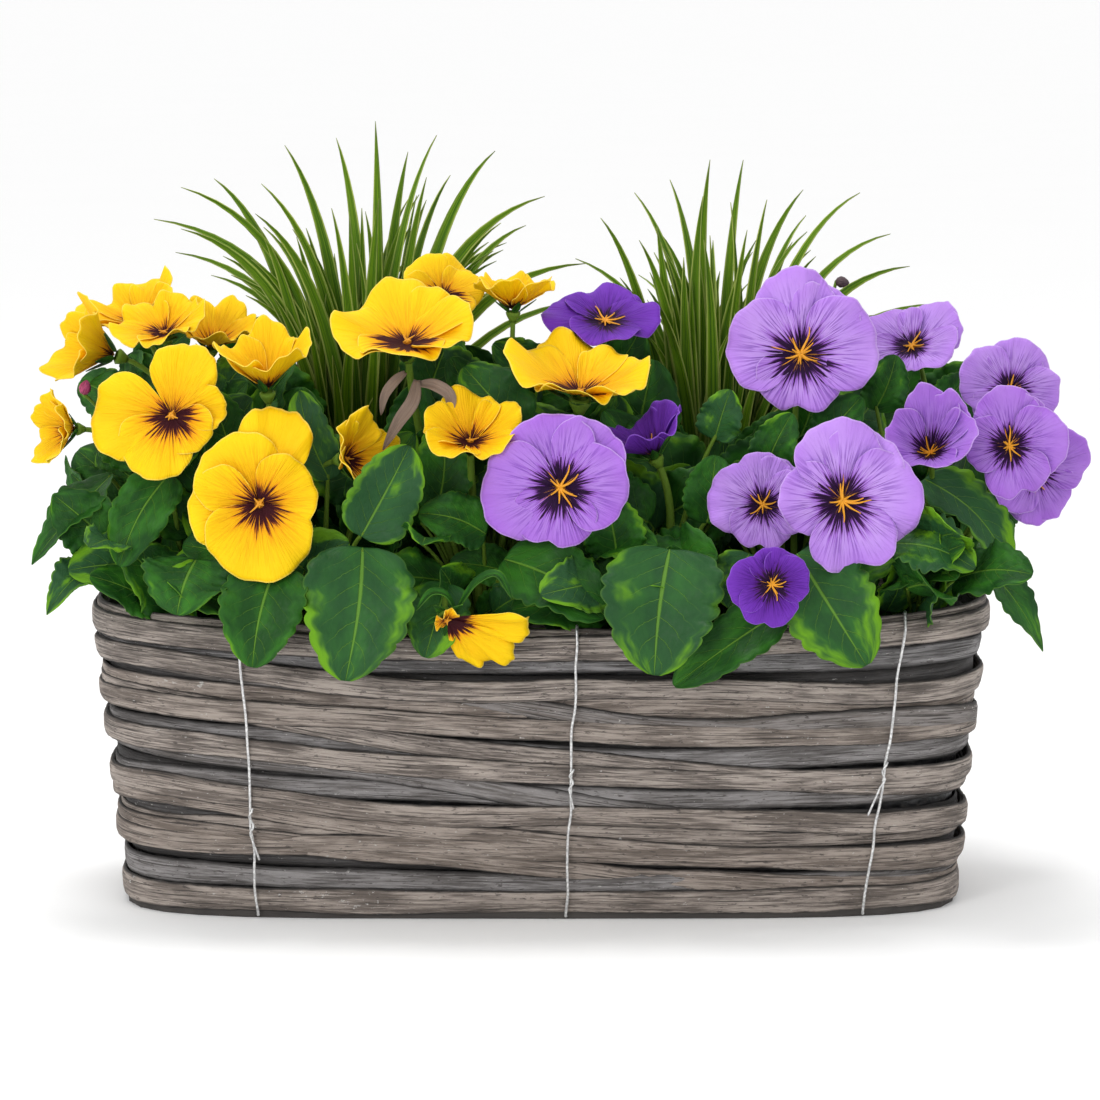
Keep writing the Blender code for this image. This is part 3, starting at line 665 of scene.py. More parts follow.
def willow_material(name, pale, deep, unshaded_share):
    """Split willow. Pattern is metres along and across the strip, and finish is the strip's own tone and
    how near the edge is. The last argument is how much of its breadth is free of the painted shade, with some
    seam dirt, at its edges."""
    stain, pith_brown, dust = (0.23, 0.175, 0.135), (0.055, 0.046, 0.042), (0.60, 0.58, 0.55)
    crack_black, seam_shade_and_dirt = (0.030, 0.025, 0.022), (0.016, 0.014, 0.013)
    s = Shader(name)
    pattern = s.uv("pattern")
    tone, edge = s.uv("finish")
    seed = s.times(tone, 37.0)
    fibre = s.streaks(pattern, 42.0, 900.0, seed, 6.0, 0.7)
    cloud = s.streaks(pattern, 24.0, 130.0, seed)
    pith = s.streaks(pattern, 170.0, 620.0, seed, 4.0, 0.7)
    fleck = s.streaks(pattern, 260.0, 560.0, s.plus(seed, 5.0), 4.0, 0.7)
    scuff = s.streaks(pattern, 9.0, 60.0, s.plus(seed, 9.0), 2.0)
    crack = s.streaks(pattern, 26.0, 1500.0, s.plus(seed, 3.0))
    grain = s.plus(s.times(fibre, 0.62), s.times(cloud, 0.38))
    colour = s.mix(s.step(grain, 0.41, 0.59), deep, pale)
    colour = s.mix(s.scaled(tone, 0.36, -0.05), colour, stain)
    colour = s.mix(s.step(pith, 0.59, 0.66, 0.0, 0.75), colour, pith_brown)
    flecks = s.step(s.plus(fleck, s.step(scuff, 0.60, 0.74, 0.0, 0.08)), 0.665, 0.70, 0.0, 0.85)
    colour = s.mix(flecks, colour, dust)
    colour = s.mix(s.step(crack, 0.58, 0.65, 0.0, 0.85), colour, crack_black)
    # Painted shade, with some seam dirt: the strip darkens towards its edges, where the strips overlap and
    # shade each other
    colour = s.mix(s.step(edge, unshaded_share, 0.98, 0.0, 0.94), colour, seam_shade_and_dirt)
    height = s.plus(s.plus(s.times(fibre, 0.6), s.times(pith, -0.5)), s.times(crack, -0.5))
    return s.finish(colour, s.step(fibre, 0.3, 0.7, 0.72, 0.95), height, 0.0019)


def petal_material(name, look):
    """A petal. Pattern is the turn round the bloom and the distance from its centre in radii, and finish is
    the share of the way out to the petal's edge and the petal's kind."""
    ray_orange, centre_orange = (0.92, 0.36, 0.01), (0.80, 0.30, 0.01)
    s = Shader(name, Roughness=0.6, Specular_IOR_Level=0.18)
    pattern = s.uv("pattern")
    reach = pattern[1]
    out, kind = s.uv("finish")
    broad = s.streaks(pattern, 1.6, 1.2, 1.0, 2.0)
    streak = s.streaks(pattern, 11.0, 0.7, 2.0, 4.0, 0.7)
    vein = s.streaks(pattern, 30.0, 2.2, 3.0, 2.0)
    ray = s.streaks(pattern, 8.0, 0.8, 4.0, 3.0, 0.65)
    colour = s.mix(s.step(reach, 0.10, 0.75), look["throat_side"], look["face"])
    colour = s.mix(s.step(out, 0.55, 1.0, 0.0, 0.8), colour, look["pale"])
    colour = s.mix(s.step(broad, 0.35, 0.75, 0.0, look["cloud"]), colour, look["throat_side"])
    lines = s.times(s.step(vein, 0.50, 0.62), s.step(reach, 1.05, 0.35, 0.0, look["veins"]))
    colour = s.mix(lines, colour, look["vein"])
    feather = s.scaled(streak, look["feather"], -0.5 * look["feather"])
    limit = s.plus(s.scaled(kind, look["blotch_grows"], look["blotch"]), feather)
    gap = s.sums("SUBTRACT", reach, limit)
    colour = s.mix(s.step(gap, 0.20, 0.0, 0.0, 0.75), colour, look["glow"])
    colour = s.mix(s.step(gap, 0.05, -0.03), colour, look["fringe"])
    colour = s.mix(s.step(gap, 0.02, -0.05), colour, look["dark"])
    rays = s.sums("SUBTRACT", ray, s.scaled(reach, look["ray_taper"], look["ray_start"]))
    colour = s.mix(s.step(rays, 0.0, 0.05), colour, ray_orange)
    colour = s.mix(s.step(reach, 0.075, 0.05), colour, centre_orange)
    colour = s.mix(s.step(out, 0.975, 0.995, 0.0, 0.55), colour, look["rim"])
    height = s.plus(s.times(vein, 0.3), s.times(streak, 0.7))
    return s.finish(colour, None, height, 0.0016)


YELLOW = {
    "face": (0.90, 0.545, 0.001), "pale": (0.94, 0.63, 0.002), "throat_side": (0.88, 0.42, 0.001),
    "vein": (0.74, 0.30, 0.001), "veins": 0.5, "cloud": 0.35, "blotch": 0.05, "blotch_grows": 0.40,
    "feather": 1.1, "glow": (0.84, 0.30, 0.002), "fringe": (0.42, 0.07, 0.004), "dark": (0.040, 0.002, 0.006),
    "ray_start": 0.60, "ray_taper": 1.6, "rim": (1.0, 0.78, 0.16),
}
VIOLET = {
    "face": (0.385, 0.18, 0.66), "pale": (0.345, 0.125, 0.62), "throat_side": (0.45, 0.25, 0.70),
    "vein": (0.13, 0.02, 0.34), "veins": 0.80, "cloud": 0.45, "blotch": 0.33, "blotch_grows": 0.06,
    "feather": 1.15, "glow": (0.32, 0.11, 0.60), "fringe": (0.12, 0.012, 0.20), "dark": (0.018, 0.002, 0.030),
    "ray_start": 0.50, "ray_taper": 0.55, "rim": (0.66, 0.46, 0.88),
}
PETAL_LOOKS = {
    "yellow": YELLOW,
    "violet": VIOLET,
    "light_violet": {
        **VIOLET, "face": (0.48, 0.27, 0.76), "pale": (0.42, 0.19, 0.71), "throat_side": (0.55, 0.34, 0.79),
        "blotch": 0.29,
    },
    "deep_violet": {
        **VIOLET, "face": (0.135, 0.024, 0.38), "pale": (0.17, 0.036, 0.46),
        "throat_side": (0.10, 0.014, 0.28),
        "vein": (0.05, 0.004, 0.17), "glow": (0.08, 0.01, 0.24), "rim": (0.34, 0.15, 0.70),
    },
}


def leaf_material(name):
    """A leaf. Pattern is across (-1 to 1) and along (0 to 1) the blade, and finish is the leaf's own random
    number and its kind: 0 on a blade and 1 on a stalk."""
    deep, bright, bluish = (0.010, 0.058, 0.008), (0.030, 0.147, 0.011), (0.026, 0.088, 0.036)
    lime, vein_green, edge_green = (0.14, 0.34, 0.008), (0.15, 0.32, 0.03), (0.16, 0.32, 0.03)
    stalk_deep, stalk_bright = (0.085, 0.17, 0.012), (0.16, 0.27, 0.03)
    s = Shader(name, Specular_IOR_Level=0.16)
    pattern = s.uv("pattern")
    along = pattern[1]
    chance, stalk = s.uv("finish")
    seed = s.times(chance, 61.0)
    side = s.sums("ABSOLUTE", pattern[0])
    patch = s.streaks(pattern, 1.5, 2.0, seed, 3.0, 0.6)
    fine = s.streaks(pattern, 14.0, 22.0, seed, 4.0)
    colour = s.mix(s.step(patch, 0.35, 0.7), deep, bright)
    colour = s.mix(s.step(chance, 0.62, 0.90, 0.0, 0.6), colour, bluish)
    margin = s.plus(s.plus(s.times(side, 0.62), s.scaled(along, 0.45, -0.2)), s.scaled(patch, 2.6, -1.3))
    margin = s.plus(margin, s.scaled(chance, 0.7, -0.35))
    colour = s.mix(s.step(margin, 0.66, 1.20, 0.0, 0.9), colour, lime)
    slanted = s.scaled(s.sums("POWER", side, VEIN_BEND), -VEIN_SLANT, along)
    wave = s.times(s.scaled(fine, 0.25, -0.12), 0.1)
    place = s.times(s.plus(slanted, wave), LEAF_VEINS)
    away = s.sums("ABSOLUTE", s.scaled(s.sums("FRACT", s.plus(place, 0.5)), 1.0, -0.5))
    side_vein = s.times(s.step(away, 0.045, 0.012), s.step(side, 0.85, 0.1, 0.0, 0.6))
    midrib = s.step(s.plus(side, s.times(along, 0.02)), 0.055, 0.025)
    vein = s.sums("MAXIMUM", side_vein, midrib)
    colour = s.mix(s.times(vein, 0.6), colour, vein_green)
    colour = s.mix(s.step(side, 0.96, 1.0, 0.0, 0.22), colour, edge_green)
    colour = s.mix(stalk, colour, s.mix(fine, stalk_deep, stalk_bright))
    height = s.plus(s.scaled(s.times(vein, s.sums("SUBTRACT", 1.0, stalk)), -0.55, 0.55), s.times(fine, 0.4))
    return s.finish(colour, s.step(fine, 0.3, 0.7, 0.42, 0.62), height, 0.0008)


def grass_material():
    """A grass blade. Pattern is across (-1 to 1) and along (0 to 1), and finish is the blade's own random
    number."""
    dark, bright, edge_pale = (0.034, 0.110, 0.002), (0.145, 0.275, 0.005), (0.38, 0.46, 0.10)
    tip_straw, shaded = (0.17, 0.20, 0.05), (0.009, 0.045, 0.003)
    s = Shader("grass_blade", Specular_IOR_Level=0.18)
    pattern = s.uv("pattern")
    along = pattern[1]
    seed = s.times(s.uv("finish")[0], 43.0)
    side = s.sums("ABSOLUTE", pattern[0])
    streak = s.streaks(pattern, 5.0, 1.6, seed, 4.0, 0.65)
    colour = s.mix(s.step(streak, 0.36, 0.64), dark, bright)
    colour = s.mix(s.times(s.step(side, 0.62, 0.95), s.step(streak, 0.3, 0.55)), colour, edge_pale)
    colour = s.mix(s.step(along, 0.9, 1.0, 0.0, 0.55), colour, tip_straw)
    colour = s.mix(s.step(along, 0.72, 0.22, 0.0, 0.88), colour, shaded)
    return s.finish(colour, s.step(streak, 0.3, 0.7, 0.36, 0.52), streak, 0.0006)


# Roughness, streaks by the pattern's two numbers, detail, the two colours and the relief's height
WITHERED = (0.8, 7.0, 2.0, 4.0, (0.13, 0.085, 0.065), (0.36, 0.27, 0.21), 0.0008)
THROAT = (0.45, 6.0, 6.0, 3.0, (0.95, 0.46, 0.01), (0.72, 0.24, 0.01), 0.0004)


def streaked_material(name, roughness, by_first, by_second, detail, dark, pale, relief):
    """Two tones in streaks that follow the piece's own map."""
    s = Shader(name, Roughness=roughness)
    streak = s.streaks(s.uv("pattern"), by_first, by_second, detail=detail)
    return s.finish(s.mix(streak, dark, pale), None, streak, relief)


def bud_material(name, colour):
    s = Shader(name, Roughness=0.6)
    streak = s.streaks(s.uv("pattern"), 30.0, 3.0)
    dark = tuple(0.45 * part for part in colour)
    return s.finish(s.mix(s.step(streak, 0.35, 0.65), dark, colour), None, streak, 0.0005)


def soil_material():
    peat, crumb_brown, bark = (0.010, 0.007, 0.005), (0.055, 0.036, 0.024), (0.16, 0.12, 0.085)
    s = Shader("potting_soil", Roughness=0.95)
    lumps = s.grit(140.0, 6.0, 0.7)
    grains = s.grit(900.0, 3.0, 0.6)
    colour = s.mix(s.step(lumps, 0.35, 0.7), peat, crumb_brown)
    colour = s.mix(s.step(grains, 0.68, 0.76, 0.0, 0.6), colour, bark)
    return s.finish(colour, None, s.plus(s.times(lumps, 0.7), s.times(grains, 0.3)), 0.003)


def film_material():
    black, dusty = (0.008, 0.008, 0.009), (0.06, 0.05, 0.042)
    s = Shader("liner_film_black", Roughness=0.38)
    dust = s.grit(300.0, 4.0, 0.7)
    colour = s.mix(s.step(dust, 0.5, 0.75, 0.0, 0.7), black, dusty)
    return s.finish(colour, s.step(dust, 0.4, 0.7, 0.3, 0.8), s.grit(90.0, 4.0), 0.002)


def board_material():
    dark, pale = (0.018, 0.016, 0.015), (0.07, 0.062, 0.056)
    s = Shader("base_board_stained", Roughness=0.8)
    stretch = s.node("ShaderNodeMapping", s.node("ShaderNodeTexCoord").outputs["Object"])
    stretch.inputs["Scale"].default_value = (18.0, 320.0, 320.0)
    grain = s.noise(stretch.outputs[0], 1.0, 5.0, 0.6)
    return s.finish(s.mix(grain, dark, pale), None, grain, 0.0008)


def wire_material():
    dull, bright = (0.46, 0.46, 0.46), (0.82, 0.82, 0.81)
    s = Shader("galvanised_wire", Metallic=0.9)
    spangle = s.grit(700.0)
    colour = s.mix(s.step(spangle, 0.35, 0.7), dull, bright)
    return s.finish(colour, s.step(spangle, 0.3, 0.7, 0.28, 0.5), spangle, 0.0002)


def floor_material():
    s = Shader("floor_white", Roughness=0.9)
    return s.finish(s.mix(s.grit(3.0), (0.97, 0.97, 0.97), (0.985, 0.985, 0.985)))


# ---- the trough ----


def half_sizes(height, inset):
    """Half length and half depth of the wall at each height, at each inset from its face."""
    share = height / RIM_HEIGHT
    length, depth = (foot + (top - foot) * share for foot, top in zip(FOOT_HALF, TOP_HALF))
    return length - inset, depth - inset


def plan_curve(stations):
    """The superellipse of the trough's plan at evenly spaced stations, on unit half sizes: x, y and the
    length from the start, which is in the middle of the back. The lengths include the whole loop's."""
    turns = np.linspace(math.pi / 2, math.pi / 2 + math.tau, PLAN_SAMPLES)
    x = signed_power(np.cos(turns), 2 / PLAN_POWER)
    y = signed_power(np.sin(turns), 2 / PLAN_POWER)
    steps = np.hypot(np.diff(x) * TOP_HALF[0], np.diff(y) * TOP_HALF[1])
    length = np.concatenate([[0], np.cumsum(steps)])
    places = np.linspace(0, length[-1], stations + 1)
    return np.interp(places[:-1], length, x), np.interp(places[:-1], length, y), places


def on_wall(x, y, height, inset, end_rise=END_RISE):
    """Points of the wall on the unit plan curve at a height and inset."""
    half_length, half_depth = half_sizes(height, inset)
    rise = end_rise * (height / RIM_HEIGHT) * np.abs(x) ** END_RISE_POWER
    return np.stack([x * half_length, y * half_depth, height + rise], axis=-1)


def out_of_wall(x, y):
    """The flat direction out of the wall at points of the unit plan curve."""
    slope_x = signed_power(x, PLAN_POWER - 1) / TOP_HALF[0]
    slope_y = signed_power(y, PLAN_POWER - 1) / TOP_HALF[1]
    return unit(np.stack([slope_x, slope_y, np.zeros_like(x)], axis=-1))


def ripple(share, knots, draw):
    """A smooth random curve between -1 and 1 round a loop, with that many knots."""
    heights = np.array([draw.uniform(-1, 1) for _ in range(knots)])
    place = share * knots
    first = np.floor(place).astype(int)
    part = place - first
    part = part * part * (3 - 2 * part)
    return heights[first % knots] * (1 - part) + heights[(first + 1) % knots] * part


def splice(share, draw):
    """How broad a strip with one joint is round the loop, as a share: it ends abruptly on one side of the
    joint and tapers on the other."""
    away = (share - draw.uniform(0.05, 0.95) + 0.5) % 1 - 0.5
    reach = np.where(away < 0, 0.004, draw.uniform(0.02, 0.05))
    return 1 - 0.86 * np.exp(-((away / reach) ** 2))


def strip_middle(width, centre, lean, wander, draw, spliced):
    """The height of a strip's middle line and its breadth, station by station."""
    share = np.linspace(0, 1, STATIONS, endpoint=False)
    rise = math.sin(math.pi * min(1.0, centre / RIM_HEIGHT))
    height = centre - lean * rise * np.sin(math.tau * (share - 0.5))
    height = height + wander * ripple(share, WANDER_KNOTS, draw)
    height = height + QUICK_WANDER * wander * ripple(share, QUICK_WANDER_KNOTS, draw)
    breadth = width * (1 + BREADTH_VARIES * ripple(share, BREADTH_KNOTS, draw))
    return height, breadth * splice(share, draw) if spliced else breadth


def willow_strip(name, centre, layer, tone, material, spliced=False):
    """A strip of willow that runs right round the trough, wanders up and down and swings in and out."""
    width, inset, swing, thickness, lean, wander = mm(WEAVE[layer])
    draw = random.Random(name)
    x, y, length = plan_curve(STATIONS)
    share = np.linspace(0, 1, STATIONS, endpoint=False)
    height, breadth = strip_middle(width, centre, lean, wander, draw, spliced)
    depth = inset + swing * ripple(share, SWING_KNOTS, draw)
    tilt = TILT * ripple(share, TILT_KNOTS, draw)
    turns = np.linspace(0, math.tau, PROFILE_POINTS, endpoint=False)
    up_share = signed_power(np.cos(turns), PROFILE_POWERS[0])
    out_share = signed_power(np.sin(turns), PROFILE_POWERS[1])
    nick = np.stack([ripple(share, NICK_KNOTS, draw) for _ in turns], axis=1)
    across = up_share * breadth[:, None] / 2 * (1 + NICK_BREADTH * nick * np.abs(up_share))
    level = np.clip(height[:, None] + across, FLOOR_GAP, None)
    wall = on_wall(x[:, None], y[:, None], level, depth[:, None])
    push = (out_share - 1) / 2 * thickness + tilt[:, None] * across + NICK_DEPTH * nick - CROWN * up_share**4
    push = np.clip(push, -thickness - CROWN, depth[:, None] + STANDS_PROUD)
    grid = wall + out_of_wall(x, y)[:, None, :] * push[..., None]
    edge = np.append(np.abs(up_share), abs(up_share[0]))
    place = np.append(up_share, up_share[0]) * width / 2
    pattern = spread(length[:, None], place[None, :])
    finish = spread(np.full((STATIONS + 1, 1), tone), edge[None, :])
    grids = Grids()
    grids.add(np.concatenate([grid, grid[:1]]), pattern, finish, ring=True)
    return grids.build(name, [material])


def build_strips():
    """The frame's rows of willow, the strips that cross them, ones behind their gaps in painted shade and the
    hoop.
    """
    warm, cool, shaded_behind = (willow_material(f"willow_{look}", *WILLOW[look]) for look in ("warm", "cool", "shaded_behind"))
    draw = random.Random(11)
    for row in range(STRIP_ROWS):
        centre = STRIP_FOOT + CAD_STRIP_WIDTH / 2 + STRIP_PITCH * row
        layer = {0: "foot", STRIP_ROWS - 1: "rim"}.get(row, "middle" if row % 2 else "front")
        look = cool if layer == "middle" and row not in WARM_MIDDLE_ROWS else warm
        centre -= FOOT_DROP if layer == "foot" else 0.0
        made = willow_strip(f"strip_{row + 1:02d}", centre, layer, draw.random(), look)
        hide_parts(f"willow_strip_{row + 1:02d}")
    for number, height in enumerate(CROSSINGS):
        look = cool if number % 2 else warm
        made = willow_strip(f"strip_crossing_{number + 1}", height * MM, "crossing", draw.random(), look)
    # Strips behind the gaps, in the willow darkened as painted shade
    for row in range(BACK_ROWS):
        centre = STRIP_FOOT + (RIM_HEIGHT - STRIP_FOOT) * (row + 0.5) / BACK_ROWS
        made = willow_strip(f"strip_behind_{row + 1}", centre, "back", BACK_TONE, shaded_behind, spliced=True)
    hoop = willow_strip("hoop", HOOP_TOP - HOOP_WIDTH * MM / 2, "hoop", HOOP_TONE, warm)
    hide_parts("rim_hoop")


def build_liner():
    """The film liner, with its crinkles and its uneven top edge."""
    waver, crinkle_depth, edge_knots, crinkle_knots = 1.2 * MM, 0.45 * MM, 40, (90, 33)
    draw = random.Random(5)
    x, y, _ = plan_curve(LINER_STATIONS)
    share = np.linspace(0, 1, LINER_STATIONS, endpoint=False)
    top = LINER_TOP + waver * ripple(share, edge_knots, draw)
    crinkle = sum(0.5 * ripple(share, knots, draw) for knots in crinkle_knots)
    grid = []
    for rise in np.linspace(0, 1, LINER_ROWS):
        height = (STRIP_FOOT + 2 * LINER_HALF) * (1 - rise) + top * rise
        grid.append(on_wall(x, y, height, LINER_INSET + 0.5 * MM + crinkle_depth * crinkle * rise, 0.0))
    floor = [grid[0] * np.array((reach, reach, 1.0)) for reach in FLOOR_RINGS]
    grids = Grids()
    grids.add_plain_ring(np.array(floor + grid))
    liner = grids.build("liner", [film_material()], LINER_HALF)
    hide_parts("liner_film")


def crumb(grids, centre, radius, draw):
    """A crumb of soil: a small ball with every ring and turn uneven."""
    rows, sides, pole = 5, 7, 0.04
    turns = np.linspace(0, math.tau, sides, endpoint=False)
    grid = []
    for row in range(rows):
        tilt = math.pi * (pole + (1 - 2 * pole) * row / (rows - 1))
        bulge = np.array([draw.uniform(0.75, 1.25) for _ in turns])
        ring = np.stack([np.cos(turns), np.sin(turns), np.zeros(sides)], axis=1) * math.sin(tilt)
        ring[:, 2] = math.cos(tilt)
        grid.append(centre + ring * radius * bulge[:, None])
    grids.add_plain_ring(np.array(grid))


def build_soil():
    """The soil: a lumpy top, its side against the liner and its underside, with crumbs lying on it."""
    draw = random.Random(21)
    x, y, _ = plan_curve(SOIL_STATIONS)
    edge = on_wall(x, y, SOIL_TOP, SOIL_INSET, 0.0)
    grid = []
    for reach in np.linspace(0, 1, SOIL_ROWS) * 0.99 + 0.01:
        ring = edge * np.array((reach, reach, 1.0))
        lumps = [soil_lump(point) * min(1.0, 6 * (1 - reach)) for point in ring]
        ring[:, 2] = SOIL_TOP + np.array(lumps)
        grid.append(ring)
    low = STRIP_FOOT + 1.9 * MM
    for height, reach in ((0.66, 1.0), (0.33, 1.0), (0.0, 1.0), (0.0, 0.5), (0.0, 0.01)):
        level = low + (SOIL_TOP - low) * height
        grid.append(on_wall(x, y, level, SOIL_INSET, 0.0) * np.array((reach, reach, 1.0)))
    grids = Grids()
    grids.add_plain_ring(np.array(grid))
    for _ in range(SOIL_CRUMBS):
        place = np.array((draw.uniform(-0.2, 0.2), draw.uniform(-0.07, 0.07), SOIL_TOP))
        radius = draw.uniform(*CRUMB_RADII)
        place[2] += soil_lump(place) + 0.3 * radius
        crumb(grids, place, radius, draw)
    soil = grids.build("potting_soil", [soil_material()])
    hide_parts("soil")


def soil_lump(point):
    """How far the soil's top stands above its level at a place."""
    broad = noise.noise(Vector((point[0] * 28, point[1] * 28, 3.0)))
    fine = noise.noise(Vector((point[0] * 130, point[1] * 130, 9.0)))
    return 3.2 * MM * broad + 1.6 * MM * fine


def wall_face_y(x, height, side):
    """Where the wall's outer face is at x: side -1 is the front and 1 the back."""
    half_length, half_depth = half_sizes(height, 0.0)
    return side * half_depth * (1 - min(1.0, abs(x) / half_length) ** PLAN_POWER) ** (1 / PLAN_POWER)


def wire_point(rim_x, foot_x, side, height, drift=0.0, lift=WIRE_CLEARANCE):
    """A point of a wire at a height: drift is to the right and lift is out from the wall."""
    x = rim_x + (foot_x - rim_x) * (HOOP_TOP - height) / (HOOP_TOP - STRIP_FOOT) + drift
    return (x, wall_face_y(x, height, side) + side * lift, height)


def wire_run(rim_x, foot_x, side, high, low, draw):
    """Points of a kinked strand down the strips, from one height to another."""
    steps = max(2, round((high - low) / STRIP_PITCH))
    points = []
    for step in range(steps + 1):
        height = high + (low - high) * step / steps
        lift = WIRE_CLEARANCE + draw.uniform(0.0, 0.5) * MM
        points.append(wire_point(rim_x, foot_x, side, height, draw.uniform(-1, 1) * WIRE_DRIFT, lift))
    return points


def wire_tie(name, rim_x, foot_x, side, material):
    """A wire hooked over the rim, with a second strand twisted on at one place and a loose end."""
    draw = random.Random(name)
    rim_x, foot_x = rim_x * MM, foot_x * MM
    over = HOOP_TOP + END_RISE * (rim_x / TOP_HALF[0]) ** END_RISE_POWER
    face = wall_face_y(rim_x, RIM_HEIGHT, side)
    hook = [(rim_x + right * MM, face - side * inward * MM, over + up * MM) for right, inward, up in HOOK]
    run = wire_run(rim_x, foot_x, side, over - 8 * MM, WIRE_FOOT, draw)
    tuck = [(foot_x, wall_face_y(foot_x, WIRE_FOOT, side) - side * WIRE_FOOT / 2, WIRE_FOOT / 2)]
    grids = Grids()
    tube(grids, smooth_path(hook + run + tuck, 5), WIRE_RADIUS)
    twist_wire(grids, rim_x, foot_x, side, draw.uniform(45, 105) * MM, draw)
    tie = grids.build(f"wire_{name}", [material])
    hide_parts(f"wire_tie_{name}")


def twist_wire(grids, rim_x, foot_x, side, high, draw):
    """A second strand that winds round the first and ends in a loose end that stands off to one side."""
    length = draw.uniform(20, 30) * MM
    away = draw.choice((-1, 1)) * draw.uniform(2, 4) * MM
    points = []
    for share in np.linspace(0, 1, 20):
        turn = math.tau * TWIST_TURNS * min(1.0, share / 0.5)
        drift = 1.0 * MM * math.cos(turn) + away * max(0.0, share - 0.5) * 2
        lift = WIRE_CLEARANCE + 1.1 * MM + 0.4 * MM * math.sin(turn)
        points.append(wire_point(rim_x, foot_x, side, high - length * share, drift, lift))
    tube(grids, np.array(points), 0.8 * WIRE_RADIUS, sides=7)


# ---- the plants ----


def crown_place(x, y):
    return mm((x, y, 0)) + np.array((0, 0, SOIL_TOP))


def inside_crown(crown, goal, reach):
    """Where a growth that heads for goal leaves the crown."""
    heading = unit((goal - crown) * np.array((1, 1, 0)))
    return crown + heading * reach + np.array((0, 0, 0.3 * CROWN_HEIGHT))


def bezier(start, middle, end, steps):
    share = np.linspace(0, 1, steps)[:, None]
    return start * (1 - share) ** 2 + middle * 2 * share * (1 - share) + end * share**2


def leaf_blade(grids, base, tip, width, out, draw, narrow=False, rows=LEAF_ROWS, columns=LEAF_COLUMNS):
    """An ovate blade with a scalloped margin: folded along its midrib, quilted between its side veins and
    wavy at its edge. Its upper side looks along out."""
    body_power, tooth_depth = (0.85, 0.16) if narrow else (0.46, 0.11)
    quilt_depth, wave_depth, ruffle_depth, nod = 0.012, 0.16, 0.035, 0.10
    length = np.linalg.norm(tip - base)
    along = unit(tip - base)
    normal = square_to(out, along)
    side = np.cross(along, normal)
    s = np.linspace(0, 1, rows)[:, None]
    u = np.linspace(-1, 1, columns)[None, :]
    body = np.sin(math.pi * np.clip(s, 0.004, 0.996) ** 0.72) ** body_power
    teeth = 9 if narrow else draw.choice((7, 8))
    lobe = np.abs(np.sin(math.pi * teeth * (s + 0.03 * draw.uniform(-1, 1)))) ** 0.7
    half = 0.5 * width * body * (1 + tooth_depth * (lobe - 0.65) * np.sin(math.pi * s) ** 0.3)
    fold = draw.uniform(0.10, 0.34)
    arch = draw.uniform(0.03, 0.09) * length
    sway = draw.uniform(-0.06, 0.06) * length
    phase, beat = draw.uniform(0, math.tau), draw.uniform(1.3, 2.4)
    reach = np.abs(u)
    vein_place = (s - VEIN_SLANT * reach**VEIN_BEND) * LEAF_VEINS
    quilt = -quilt_depth * width * np.cos(math.tau * vein_place) * np.sin(math.pi * reach)
    quilt = quilt * np.sin(math.pi * s)
    wave = wave_depth * half * reach**2 * np.sin(math.tau * beat * s + phase + 1.3 * np.sign(u))
    ruffle = ruffle_depth * half * reach**3 * np.sin(math.tau * teeth * s + 2 * u)
    height = half * fold * reach**1.2 + quilt + wave + ruffle - nod * length * s**3
    centre = base + (tip - base) * s + (normal * arch + side * sway) * np.sin(math.pi * s)
    grid = centre[:, None, :] + side * (u * half)[..., None] + normal * height[..., None]
    grids.add(grid, spread(u, s), all_over((draw.random(), 0.0), rows, columns))


def petiole(stalks, crown, base, along, radius):
    """A leaf's stalk, from the crown up and over to the blade's base."""
    start = inside_crown(crown, base, 4 * MM)
    span = np.linalg.norm(base - start)
    bend = start * 0.5 + base * 0.5 + np.array((0, 0, 0.24 * span))
    path = bezier(start, bend, base + along * 2 * MM, 12)
    tube(stalks, path, np.linspace(1.5 * radius, 0.8 * radius, len(path)), sides=7, finish=(0.5, 1.0))


def flower_stalk(stalks, crown, centre, radius, towards, thick):
    """A flower's stalk, which meets the calyx along the bloom's axis."""
    end = centre - towards * CALYX_DEPTH * radius * 0.8
    start = inside_crown(crown, end, 3 * MM)
    span = np.linalg.norm(end - start)
    middle = end - towards * 0.35 * span
    path = bezier(start, middle, end, 20)
    tube(stalks, path, np.linspace(thick, 0.68 * thick, len(path)), sides=8, finish=(0.3, 1.0))


def crown_stub(stalks, crown, radius):
    """The plant's crown: a short stem that stands in the soil."""
    path = np.array([crown + np.array((0, 0, height * MM)) for height in (-3, 2, 7, 12)])
    tube(stalks, path, radius * np.array((1.0, 0.9, 0.75, 0.5)), sides=10, finish=(0.1, 1.0))


def leaf_points(base, tip):
    return base, (base + tip) / 2, tip


def clear_of_blooms(base, tip, gap=9 * MM, deep=70 * MM):
    """Whether a leaf stays out of every bloom and hides none from where it faces or from the front."""
    for _, _, centre, diameter, azimuth, elevation, *_ in BLOOMS:
        centre, radius, towards = mm(centre), diameter * MM / 2, facing(azimuth, elevation)
        for point in leaf_points(base, tip):
            away = point - centre
            ahead = away @ towards
            beside = np.linalg.norm(away - ahead * towards)
            if beside < radius + 0.6 * gap and -0.35 * radius - gap < ahead < deep:
                return False
            in_view = np.hypot(away[0], away[2]) < radius + gap
            if in_view and away[1] < 6 * MM and centre[1] < 20 * MM:
                return False
    return True


def clear_of_rim(base, tip):
    """Whether a leaf that hangs low stays inside the rim."""
    for point in leaf_points(base, tip):
        rim = HOOP_TOP + END_RISE * (point[0] / TOP_HALF[0]) ** END_RISE_POWER
        if point[2] < rim + 10 * MM and (abs(point[1]) > 76 * MM or abs(point[0]) > 200 * MM):
            return False
    return True


